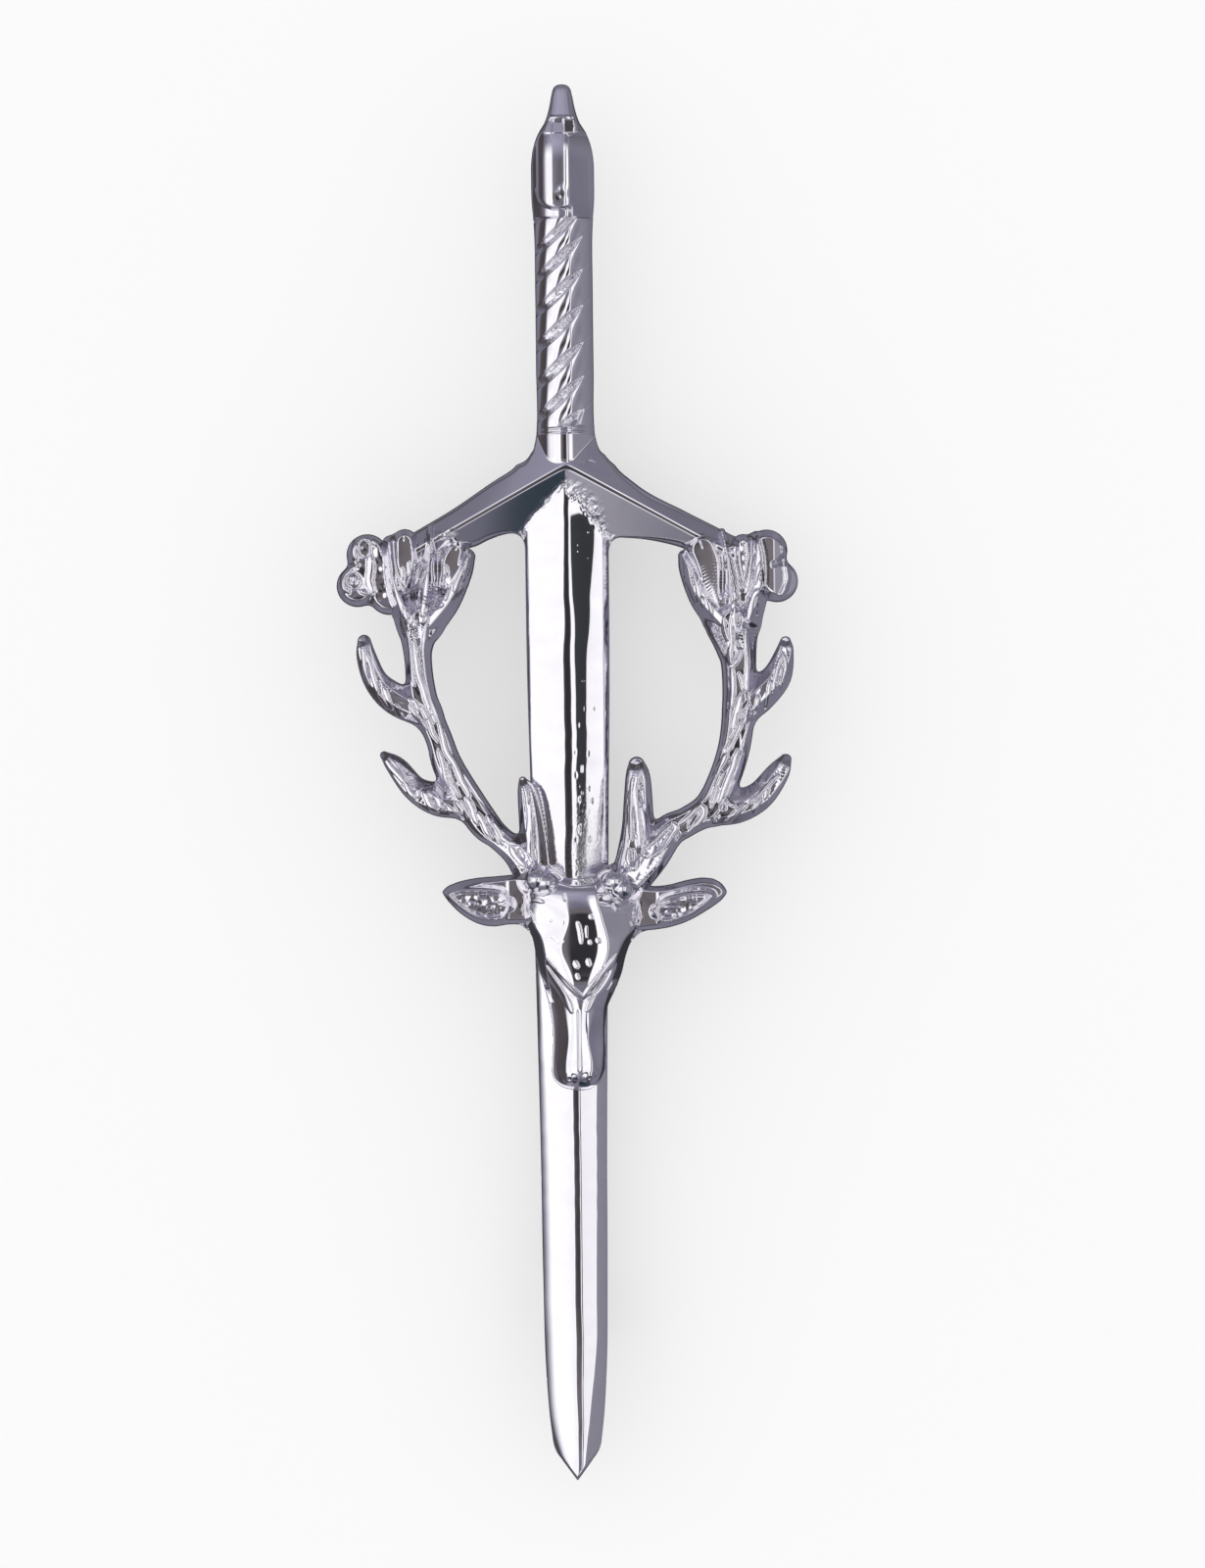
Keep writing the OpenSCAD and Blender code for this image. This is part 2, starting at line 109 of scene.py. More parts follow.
def table(value, rows, column=1):
    """A smooth line through rows of (place, size): cubic pieces with the slopes of the chords."""
    rows = np.array(rows, float)
    place, size = rows[:, 0], rows[:, column]
    if place[0] > place[-1]:
        place, size = place[::-1], size[::-1]
    slope = np.gradient(size, place)
    at = np.clip(value, place[0], place[-1])
    i = np.clip(np.searchsorted(place, at) - 1, 0, len(place) - 2)
    step = place[i + 1] - place[i]
    t = (at - place[i]) / step
    return ((1 + 2 * t) * (1 - t) ** 2 * size[i] + t * (1 - t) ** 2 * step * slope[i]
            + t * t * (3 - 2 * t) * size[i + 1] + t * t * (t - 1) * step * slope[i + 1])


def carved(x, y, sections):
    """Height of a long form whose sections across are given by their slopes. A section holds its
    y, places across and the slope down to the right at each of them. The height is minus the
    area, from x = 0, under straight lines through the slopes. Along y the places and slopes
    follow smooth lines through the sections."""
    if len(sections) == 1:
        columns = list(zip(sections[0][1], sections[0][2]))
    else:
        at = [section[0] for section in sections]
        columns = [(table(y, list(zip(at, place))), table(y, list(zip(at, slope))))
                   for place, slope in zip(zip(*[section[1] for section in sections]),
                                           zip(*[section[2] for section in sections]))]

    def area(value):
        total = columns[0][1] * np.minimum(value - columns[0][0], 0)
        for (place, slope), (next_place, next_slope) in zip(columns, columns[1:]):
            u = np.clip(value - place, 0, next_place - place)
            total = total + slope * u + (next_slope - slope) * u * u / (2 * (next_place - place))
        return total + columns[-1][1] * np.maximum(value - columns[-1][0], 0)
    return area(0 * x) - area(x)


def lumps(x, y, size, seed):
    """Heights from -1 to 1 drawn on a square lattice of that size and joined by smooth steps."""
    heights = np.random.default_rng(seed).uniform(-1, 1, (LATTICE, LATTICE))
    gx, gy = x / size + LATTICE // 2, y / size + LATTICE // 2
    ix, iy = np.floor(gx).astype(int), np.floor(gy).astype(int)
    fx, fy = ramp(gx - ix, 0, 1), ramp(gy - iy, 0, 1)
    left, right = ix % LATTICE, (ix + 1) % LATTICE
    low, high = [heights[left, row % LATTICE] * (1 - fx) + heights[right, row % LATTICE] * fx
                 for row in (iy, iy + 1)]
    return low * (1 - fy) + high * fy


def grains(x, y, seed):
    """As-cast grain: lumps of three sizes, the smallest with sharp creases, from about -1 to 1."""
    fine = np.abs(lumps(x + 0.7 * y, y - 0.7 * x, 0.23, seed)) * 2 - 1
    middle = lumps(x - 0.4 * y, y + 0.4 * x, 0.27, seed + 2)
    return 0.45 * lumps(x, y, 0.45, seed + 1) + 0.4 * middle + 0.3 * fine


def through(rows, cuts=7):
    """Points of a smooth line through the rows, every column by the same Catmull-Rom cubics."""
    p = np.array(rows, float)
    p = np.vstack([2 * p[0] - p[1], p, 2 * p[-1] - p[-2]])
    t = (np.arange(cuts) / cuts)[:, None]
    spans = [0.5 * (2 * b + (c - a) * t + (2 * a - 5 * b + 4 * c - d) * t ** 2
                    + (3 * b - a - 3 * c + d) * t ** 3)
             for a, b, c, d in zip(p[:-3], p[1:-2], p[2:-1], p[3:])]
    return np.vstack(spans + [p[-2:-1]])


def stroke(x, y, rows, cuts=7):
    """A tapering line over the plan. Its rows hold x, y, half width and height.
    Gives the distance out of its edge (negative inside), the length along it, the place across it
    from the middle, its half width and its height, each from the nearest part of the line."""
    p = through(rows, cuts)
    step = p[1:, :2] - p[:-1, :2]
    length = np.hypot(step[:, 0], step[:, 1])
    start = np.concatenate([[0], np.cumsum(length)[:-1]])
    best = np.full(x.shape, 1e9)
    found = [np.zeros(x.shape) for _ in range(4)]
    for a, b, e, n, s in zip(p[:-1], p[1:], step, length, start):
        t = np.clip(((x - a[0]) * e[0] + (y - a[1]) * e[1]) / n ** 2, 0, 1)
        dx, dy = x - a[0] - t * e[0], y - a[1] - t * e[1]
        width = a[2] + t * (b[2] - a[2])
        away = np.hypot(dx, dy)
        near = away - width < best
        best = np.where(near, away - width, best)
        across = np.where(e[0] * dy - e[1] * dx > 0, -away, away)
        for i, value in enumerate((s + t * n, across, width, a[3] + t * (b[3] - a[3]))):
            found[i] = np.where(near, value, found[i])
    return [best] + found


def near_line(x, y, rows, margin):
    """Which plan points lie in the box round a line's rows, widened by the margin."""
    rows = np.array(rows)
    return ((x > rows[:, 0].min() - margin) & (x < rows[:, 0].max() + margin)
            & (y > rows[:, 1].min() - margin) & (y < rows[:, 1].max() + margin))


def tapered(points, half, thin):
    """Rows of x, y and half width along a smooth line through the points. The line is thin times
    as wide at its ends as in its middle part."""
    line = through(np.array(points, float).reshape(-1, 2), 5)
    share = np.linspace(0, 1, len(line))
    wide = half * (thin + (1 - thin) * np.minimum(7 * share * (1 - share), 1))
    return np.column_stack([line, wide])


def welts(x, y, lines):
    """Raised lines: each has a half width, a rise, and its points. Its top is a low arch that is
    higher on the right, its sides are steep, and it thins towards both ends. Gives the height
    that the lines add."""
    up = np.full(x.shape, -0.5)
    for half, rise, *points in lines:
        rows = tapered(points, half, 0.5)
        rows = np.column_stack([rows, rise * (0.5 + 0.5 * rows[:, 2] / half)])
        here = near_line(x, y, rows, half + 0.4)
        out, _, across, wide, high = stroke(x[here], y[here], rows, 1)
        inner = np.clip(across, -wide, wide)
        arch = high + 0.26 * np.sign(rows[-1, 1] - rows[0, 1]) * inner - 0.22 * inner ** 2 / wide
        up[here] = either(up[here], arch - 3.4 * np.maximum(out, 0), 0.05)
    return up


def pits(x, y, lines):
    """Sunk leaf shapes: each has a half width, a depth, and its points. Gives how deep each place
    is sunk, and from 0 to 1 how far it lies inside them."""
    down, inside = np.zeros(x.shape), np.zeros(x.shape)
    for half, depth, *points in lines:
        rows = tapered(points, half, 0.35)
        rows = np.column_stack([rows, rows[:, 2]])
        here = near_line(x, y, rows, half + 0.1)
        part = ramp(-stroke(x[here], y[here], rows, 1)[0], -0.02, 0.09)
        down[here] = np.maximum(down[here], depth * part)
        inside[here] = np.maximum(inside[here], part)
    return down, inside


# A closed mesh under a relief

def put(name, data):
    """A new object of that name in the scene."""
    made = bpy.data.objects.new(name, data)
    bpy.context.scene.collection.objects.link(made)
    return made


def relief(name, xs, ys, edge, height, back=0.0):
    """A closed casting over the plan. edge(x, y) is the distance out of its outline, and
    height(x, y) gives the height of its front and how rough it is, from 0 to 1. Grid points that
    lie near the outline are moved onto it along the slope of the distance. The front ends in an
    upright wall down to the flat back."""
    (x, y), (step_x, step_y) = [[a.ravel() for a in np.meshgrid(*pair, indexing="ij")]
                                for pair in ((xs, ys), (np.gradient(xs), np.gradient(ys)))]
    shape = (len(xs), len(ys))
    out = edge(x, y)
    near = np.abs(out) < 1.5 * np.maximum(step_x, step_y)
    reach = np.minimum(step_x, step_y)
    gx, gy = outward(edge, x[near], y[near])
    reach[near] = np.maximum(step_x[near] * np.abs(gx), step_y[near] * np.abs(gy)) + 1e-6
    moved = near & (out > -SNAP_IN * reach) & (out < SNAP_OUT * reach)
    for _ in range(2):
        gx, gy = outward(edge, x[moved], y[moved])
        off = edge(x[moved], y[moved]) / (gx * gx + gy * gy + 1e-9)
        x[moved] -= off * gx
        y[moved] -= off * gy
    inside = (moved | (out <= -SNAP_IN * reach)).reshape(shape)
    number = np.arange(x.size).reshape(shape)
    corners = np.stack([number[:-1, :-1], number[1:, :-1], number[1:, 1:], number[:-1, 1:]], -1)
    there = np.stack([inside[:-1, :-1], inside[1:, :-1], inside[1:, 1:], inside[:-1, 1:]], -1)
    quads = corners[there.all(-1)]
    three = there.sum(-1) == 3
    triangles = corners[three][there[three]].reshape(-1, 3)
    used, place = np.unique(np.concatenate([quads.ravel(), triangles.ravel()]),
                            return_inverse=True)
    quads, triangles = place[:quads.size].reshape(-1, 4), place[quads.size:].reshape(-1, 3)
    x, y = x[used], y[used]
    z, rough = height(x, y)
    edges = np.vstack([quads[:, [i, (i + 1) % 4]] for i in range(4)]
                      + [triangles[:, [i, (i + 1) % 3]] for i in range(3)])
    rim = edges[~np.isin(edges @ [x.size, 1], edges @ [1, x.size])]
    ring, place = np.unique(rim, return_inverse=True)
    below = place.reshape(rim.shape) + x.size
    skirt = np.column_stack([rim[:, 1], rim[:, 0], below[:, 0], below[:, 1]])
    points = np.column_stack([
        np.concatenate([x, x[ring]]), np.concatenate([y, y[ring]]),
        BACK + np.concatenate([np.maximum(z, back + 0.15), np.full(ring.size, back)])]) * MM
    mesh = bpy.data.meshes.new(name)
    mesh.from_pydata(points.tolist(), [], quads.tolist() + triangles.tolist() + skirt.tolist())
    front = len(mesh.polygons)
    solid = bmesh.new()
    solid.from_mesh(mesh)
    loose = [e for e in solid.edges if e.is_boundary]
    bmesh.ops.triangle_fill(solid, edges=loose, use_beauty=True, normal=(0, 0, -1))
    solid.to_mesh(mesh)
    solid.free()
    mesh.polygons.foreach_set("use_smooth", np.arange(len(mesh.polygons)) < front)
    grain = np.concatenate([rough, np.zeros(ring.size)]).astype(np.float32)
    mesh.attributes.new("grain", "FLOAT", "POINT").data.foreach_set("value", grain)
    mesh.update()
    return put(name, mesh)


def outward(edge, x, y):
    """Slopes of the distance out of an outline, from a point on each side of the place."""
    return ((edge(x + NEAR, y) - edge(x - NEAR, y)) / (2 * NEAR),
            (edge(x, y + NEAR) - edge(x, y - NEAR)) / (2 * NEAR))


def steps(start, end, size):
    """Evenly spaced grid lines from start to end, at most size apart."""
    return np.linspace(start, end, int(np.ceil((end - start) / size)) + 1)


def wall(out, foot=1.45, lean=WALL_LEAN):
    """Height of a side wall: a thin steep lip at the outline and then an even lean inwards."""
    return foot - lean * out - 5.0 * np.maximum(out + 0.07, 0)


# The sword

# Half width of the hilt up from the guard
HILT_WIDTHS = [(24.6, 2.3), (25.2, 2.16), (26, 2.1), (30, 2.1), (36, 2.1), (40.4, 2.14),
               (41.1, 2.18), (42.4, 2.28), (44, 2.3), (45.2, 2.28), (46.2, 2.14), (47.25, 1.79),
               (48.2, 1.24), (49, 0.98), (50, 0.78), (50.7, 0.62), (51.2, 0.5)]
HILT_TOP = 50.9
# Half width of the blade
BLADE_WIDTHS = [(24, 3.05), (17, 3.05), (7, 3), (0, 2.86), (-10, 2.7), (-18, 2.56), (-27, 2.42),
                (-36, 2.35), (-43, 2.2), (-46, 2), (-48.5, 1.72), (-51, 1.5)]
# Slopes of the blade from its left edge to its right edge: below the head, above it, and under
# the guard
LOWER = (-2.2, -1.1, -0.5, -0.36, -0.04, 0.03, 0.44, 0.45, 0.46, 0.47, 0.48, 0.5, 0.98, 1.05)
UPPER = (-2, -1, -0.48, -0.38, -0.04, 0.03, 0.21, 0.23, 0.3, 0.4, 0.5, 0.56, 0.98, 1.1)
UNDER_GUARD = (-2, -1, -0.48, -0.38, -0.04, 0.03, 0.18, 0.19, 0.2, 0.23, 0.5, 0.56, 0.98, 1.1)
# Where each section of the blade lies, and the places across it that its slopes belong to
BLADE_PLACES = [
    (-50.5, -1, -0.75, -0.4, -0.05, 0.05, 0.25, 0.3, 0.32, 0.34, 0.36, 0.38, 0.4, 0.42, 1.2),
    (-47, -2, -1.82, -1.1, -0.05, 0.05, 0.34, 0.4, 0.45, 0.5, 0.55, 0.6, 0.8, 0.84, 2.1),
    (-43, -2.25, -2.1, -1.35, -0.06, 0.03, 0.42, 0.48, 0.5, 0.6, 0.7, 0.8, 1.32, 1.36, 2.3),
    (-33, -2.45, -2.28, -1.5, -0.06, 0.03, 0.44, 0.5, 0.55, 0.6, 0.8, 1, 1.6, 1.64, 2.5),
    (-22, -2.55, -2.38, -1.75, -0.08, 0.02, 0.44, 0.5, 0.55, 0.6, 1, 1.1, 1.75, 1.79, 2.7),
    (-17, -2.65, -2.45, -2.1, -0.15, -0.05, 0.4, 0.46, 0.52, 0.6, 1.1, 1.2, 1.9, 1.94, 2.75),
    (-12, -2.7, -2.5, -2.2, -0.35, -0.25, 0.25, 0.32, 0.48, 0.55, 1.15, 1.25, 2.2, 2.24, 2.8),
    (-7, -2.85, -2.65, -2.4, -0.45, -0.34, 0.14, 0.22, 0.42, 0.5, 1.15, 1.25, 2.4, 2.46, 2.8),
    (1, -2.95, -2.8, -2.6, -0.45, -0.35, 0.14, 0.22, 0.43, 0.5, 1.2, 1.3, 2.5, 2.56, 2.9),
    (9, -3, -2.85, -2.68, -0.42, -0.31, 0.16, 0.24, 0.45, 0.52, 1.36, 1.46, 2.56, 2.62, 3),
    (13, -3.05, -2.9, -2.72, -0.36, -0.26, 0.14, 0.2, 0.36, 0.42, 1.6, 1.72, 2.58, 2.64, 3.05),
    (18, -3.05, -2.9, -2.75, -0.3, -0.2, 0.12, 0.16, 0.22, 0.28, 1.98, 2.08, 2.6, 2.66, 3.05),
    (19.2, -3.05, -2.9, -2.75, -0.3, -0.2, 0.12, 0.16, 0.22, 0.28, 1.98, 2.08, 2.6, 2.66, 3.05),
    (20, -3.05, -2.9, -2.75, -0.3, -0.2, 0.12, 0.16, 0.22, 0.28, 1.9, 2, 2.6, 2.66, 3.05),
    (22, -3.05, -2.9, -2.75, -0.3, -0.2, 0.12, 0.16, 0.22, 0.28, 1.9, 2, 2.6, 2.66, 3.05),
]
BLADE = [(at, places, LOWER if at < -14 else UPPER if at < 19.5 else UNDER_GUARD)
         for at, *places in BLADE_PLACES]
# Upper and lower outline of the guard's arms from left to right
ARM_TOP = [(-14.5, 16.6), (-12.6, 17.6), (-11.6, 18.12), (-10.3, 18.85), (-8.4, 19.95),
           (-5.4, 21.95), (-3.6, 23.1), (-2.6, 23.95), (-2.25, 24.7), (-2.1, 25.6),
           (-1.9, 26.4), (1.9, 26.4), (2.1, 25.6), (2.3, 24.7), (2.9, 23.8), (5.1, 21.7),
           (8.7, 19.65), (11.2, 18.35), (12.6, 17.6), (14.5, 16.6)]
ARM_FOOT = [(-14.5, 13.6), (-12, 15), (-10, 16.2), (-8.45, 17), (-6.7, 17.3), (-5.5, 17.85),
            (-4.3, 18.2), (-3, 18.2), (0, 17.4), (3, 17.9), (4.4, 17.8), (5.1, 17.75),
            (6.9, 17.45), (8.7, 16.9), (10, 16.2), (12, 15), (14.5, 13.6)]
ARM_SLOPE = 0.553
LOBES = [(15.3, 14.5), (14.55, 16.75), (13, 13.9), (12.2, 16)]
LOBE_RADIUS = 1.52

# One section each: y, places across, slopes
COLLAR = [(0, (-2.15, -2.05, -1.45, -1.3, -0.6, -0.35, 0, 0.12, 0.2, 0.5, 0.6, 1.9, 2.1),
           (-5, -2.2, -1.5, -0.9, -0.35, -0.1, 0.02, 0.12, 0.45, 0.6, 0.95, 1, 2.5))]
GRIP = [(0, (-2.1, -1.95, -1.85, -1.7, -1.4, -1.2, -0.8, -0.3, 0.1, 0.2, 0.42, 0.55, 1.25, 1.9,
             2.1),
         (-5, -3, -2.4, -1.9, -1.4, -0.75, -0.45, -0.08, 0.04, 0.15, 0.24, 0.75, 0.95, 1.1, 3))]
PAD = [(0, (-2.3, -2.15, -1.95, -1.9, -1.78, -1.5, -1.2, -0.95, -0.75, -0.4, 0, 0.16, 0.26,
            0.44, 0.52, 1.9, 2.1, 2.3),
        (-3, -1.5, -1.2, -3.2, -2.2, -1.3, -0.8, -0.36, -0.1, -0.04, 0.05, 0.13, 0.45, 0.62,
         1.2, 1.28, 1.6, 3))]
POMMEL = [(0, (-2.3, -2.15, -1.4, -0.9, -0.3, 0.2, 0.45, 1.9, 2.1, 2.3),
           (-3, -1.5, -1.1, -0.45, -0.1, 0.1, 0.9, 1.28, 1.6, 3))]
STRIP = [(0, (-1.8, -1.1, 1, 1.2, 2), (-2, -0.1, 0.1, 1.2, 2))]
# Turns of the grip counted from the guard: height at the middle of the grip, number of grooves
GROOVES = [(23, -0.05), (25.5, 0), (27.95, 1), (30.4, 2), (33.1, 3), (35.7, 4), (38.1, 5),
           (40.1, 6), (42.4, 7)]
# Half width of a groove, as a share of a turn, from left to right
GROOVE_WIDTHS = [(-2.2, 0.1), (-1.9, 0.13), (-0.7, 0.19), (0.4, 0.15), (1, 0.07), (1.35, 0.005)]
# Lower outline of the pommel's pad
PAD_FOOT = [(-2, 43.2), (-1.85, 42.6), (-1.5, 42.1), (-1, 41.8), (-0.3, 41.65), (0.3, 41.75),
            (0.6, 41.9)]
# Height of the blade's ridge from the guard to the point
BLADE_RIDGE = [(23, 2.45), (0, 2.4), (-30, 2.2), (-46, 2.02), (-49.5, 1.85), (-50.9, 1.6)]
# Slopes of the arms away from the middle: upper facet, lower left and lower right facet
UPPER_FACET = [(0, 0.6), (3, 0.68), (8, 0.95), (14, 1)]
LEFT_FACET = [(0, 0.88), (3, 0.85), (7, 0.62), (14, 0.6)]
RIGHT_FACET = [(0, 0.68), (3, 0.72), (8, 0.92), (14, 0.95)]


def hilt_edge(x, y):
    """Distance out of the hilt: past its half width at that height, and past its rounded top."""
    side = (np.abs(x) - table(y, HILT_WIDTHS)) * 0.97
    return either(side, y - HILT_TOP, 0.5)


def blade_edge(x, y):
    """Distance out of the blade: past its half width, and past the two edges of its point."""
    side = np.abs(x) - table(y, BLADE_WIDTHS)
    point = (np.abs(x) * 2.35 - (y - POINT_Y) * 1.72) / np.hypot(2.35, 1.72)
    return either(either(side, point, 0.3), y - 22.6, 0.1)


def arm_edge(x, y):
    """Distance out of the guard's arms, between their upper and lower outlines."""
    above = (y - table(x, ARM_TOP)) * 0.87
    under = (table(x, ARM_FOOT) - y) * 0.87
    return either(either(above, under, 0.2), np.abs(x) - 13.6, 0.2)


def lobe_edge(x, y):
    """Distance out of the four round lobes at each end, with small fillets between them."""
    out = np.full(x.shape, FAR_OUT)
    for middle_x, middle_y in LOBES:
        out = both(out, np.hypot(np.abs(x) - middle_x, y - middle_y) - LOBE_RADIUS, 0.6)
    return both(out, np.hypot(np.abs(x) - 13.75, y - 15.3) - 1.6, 0.4)


def cross_edge(x, y):
    """Distance out of arms and blade, with fillets between them."""
    return both(arm_edge(x, y), blade_edge(x, y), 1.1)


def guard_edge(x, y):
    """Distance out of the arms, their lobes, the blade and the foot of the hilt in one outline."""
    arms = cross_edge(x, y)
    return both(np.where(y > HILT_FOOT, np.minimum(arms, hilt_edge(x, y)), arms),
                lobe_edge(x, y), 0.5)


def sword_edge(x, y):
    """Distance out of the whole sword."""
    return np.minimum(guard_edge(x, y), np.where(y > HILT_FOOT, hilt_edge(x, y), FAR_OUT))


def blade_height(x, y):
    """Blade: a narrow flat ridge, and on each side facets cut to the sections' slopes. Small
    waves along the ridge and the right facet follow the uneven polish."""
    wave = 0.05 * lumps(0 * x, y, 2.9, 5) + 0.02 * lumps(0 * x, y, 0.9, 6)
    return table(y, BLADE_RIDGE) + carved(x + wave * ramp(np.abs(x), 3, 2.4), y, BLADE)


def arm_height(x, y):
    """Arms: a narrow flat ridge that droops to each side, a plain facet above it and another
    below."""
    far = np.abs(x)
    ridge = 23.05 - ARM_SLOPE * np.hypot(far, 0.25)
    off = (y - ridge) * 0.875
    top = 3.2 - 0.65 * (far / 13.8) ** 1.3
    up = either(off - 0.14, 0 * off, 0.02)
    down = either(-off - 0.14, 0 * off, 0.02)
    lower = np.where(x < 0, table(far, LEFT_FACET), table(far, RIGHT_FACET))
    return top - table(far, UPPER_FACET) * up - lower * down


def grip_height(x, y):
    """Grip: smooth turns that arch over the front, with rough slanted grooves between them. A
    groove is widest at the left of the middle and comes to a point before the right side."""
    count = table(y - 0.93 * (x + 0.3) - 0.05 * x * x, GROOVES)
    phase = np.abs(count - np.round(count))
    width = table(x, GROOVE_WIDTHS)
    groove = 1 - ramp(phase, width - 0.035, width + 0.035)
    groove = groove * ramp(y, 25.9, 26.1) * ramp(width, 0.0, 0.03)
    turn = 0.26 * (4 * phase * (1 - phase) - 0.75) * ramp(-x, -1.3, -0.7) * ramp(y, 25.9, 26.4)
    ring = hump(y - 0.06 * x, 25.78, 0.13) + hump(y - 0.06 * x, 25.46, 0.13)
    ring = ring * ramp(x, -1.75, -1.5) * (1 - ramp(x, 1.15, 1.45))
    z = 3.0 + carved(x, y, GRIP) + turn - 0.26 * groove + 0.12 * ring
    return z + 0.055 * groove * grains(x, y, 31), groove


def pommel_height(x, y):
    """Pommel: a wide bevel on the right, a narrow one on the left, and between them a raised pad
    with a crowned front and rounded lower corners. A short plain band lies above the pad."""
    top = (3.45 - 0.07 * (y - 43.2) - 0.13 * np.maximum(y - 45.2, 0) ** 2
           - 0.12 * np.maximum(43.0 - y, 0) ** 2)
    low = table(x, PAD_FOOT)
    fall = 1.2 * np.maximum(low + 0.3 - y, 0) ** 2 + 6.0 * np.maximum(low - y, 0)
    pad = top + carved(x, y, PAD) - fall * (1 - ramp(x, 0.4, 0.7))
    crown = either(top - 0.45 + carved(x, y, POMMEL), pad, 0.04)
    worn = hump(np.hypot((x + 0.05) * 1.6, y - 42.9), 0, 0.9)
    crown = crown + 0.09 * worn * lumps(x, y, 0.4, 41)
    band = ramp(y, 47.18, 47.26)
    notch = ramp(x, 0.08, 0.14) * (1 - ramp(x, 0.88, 0.95)) * ramp(y, 47.25, 47.3)
    strip = 2.72 - 0.62 * (y - 47.2) + carved(x, y, STRIP)
    strip = strip * (1 - notch) + (2.35 + 0 * x) * notch - 0.06 * hump(x, -0.7, 0.07)
    return crown * (1 - band) + strip * band


def finial_height(x, y):
    """Button: half a cone that leans back to a rounded end."""
    half = table(y, HILT_WIDTHS) * 1.03
    middle = 2.3 - 0.42 * (y - 48.3) - 0.4 * np.maximum(y - 50.2, 0) ** 2
    return middle - 0.7 * half * (1 - np.sqrt(np.clip(1 - (np.abs(x) / half) ** 3, 0.003, 1)))


def hilt_height(x, y):
    """Hilt: grip, pommel and button one above the other, held in by steep side walls."""
    grip, rough = grip_height(x, y)
    joint = ramp(y, 41.0, 41.2)
    z = grip * (1 - joint) + pommel_height(x, y) * joint
    step = ramp(y, 48.2, 48.3)
    z = z * (1 - step) + (finial_height(x, y) + 0.1 * hump(y, 48.42, 0.18)) * step
    rough = rough * (1 - joint) + 0.5 * hump(y, 48.38, 0.16)
    return both(z, wall(hilt_edge(x, y), 1.2, 3.6), 0.1), rough


# Raised lines and hollows of the lobes: half width, rise or depth, and points
LOBE_LINES = [
    (0.11, 0.34, -15.4, 17.7, -15.5, 17, -15.35, 16.4),
    (0.1, 0.34, -15.2, 15.95, -15.8, 15.75, -16.25, 15.3, -16.35, 14.8, -16.25, 14.3, -15.9, 14),
    (0.26, 0.26, -14.35, 16.6, -14.3, 15.7, -14.4, 14.8, -14.2, 14.1),
    (0.15, 0.3, -14.1, 17.7, -13.85, 17.5),
    (0.08, 0.24, -15.1, 14.1, -14.6, 13.9, -14.1, 13.8),
    (0.16, 0.26, 15.7, 17, 15.9, 16.2, 15.95, 15.4, 16, 14.6, 15.8, 13.9, 15.45, 13.4),
]
LOBE_PITS = [
    (0.5, 0.42, -14.75, 17.5, -14.7, 16.9), (0.6, 0.5, -15.6, 14.9, -15.5, 14.75),
]


def lobe_height(x, y):
    """Lobes: broad smooth sides, raised rims, a front that falls away on the outer right, and on
    the left two dished hollows."""
    out = lobe_edge(x, y)
    left = 2.5 - 0.1 * np.maximum(-0.6 - out, 0)
    past = x - 15.05
    right = 2.9 - 0.85 * np.maximum(past, 0) + 0.105 * np.minimum(past, 0)
    z = both(wall(out, 1.35, 2.6), np.where(x < 0, left, right), 0.12)
    down, _ = pits(x, y, LOBE_PITS)
    line = welts(x, y, LOBE_LINES)
    z = z - down + 0.22 * spot(x, y, -15.5, 14.95, 0.5)
    z = either(z, z + line, 0.05)
    rough = np.where(x < 0, ramp(-out, 0.45, 0.7), hump(np.abs(x), 15.95, 0.3) * 0.6)
    rough = rough * (1 - ramp(line, -0.05, 0.05) * (x < 0))
    return z + np.where(x < 0, 0.02, 0.05) * rough * lumps(x, y, 0.32, 37), 0.3 * rough * (x > 0)


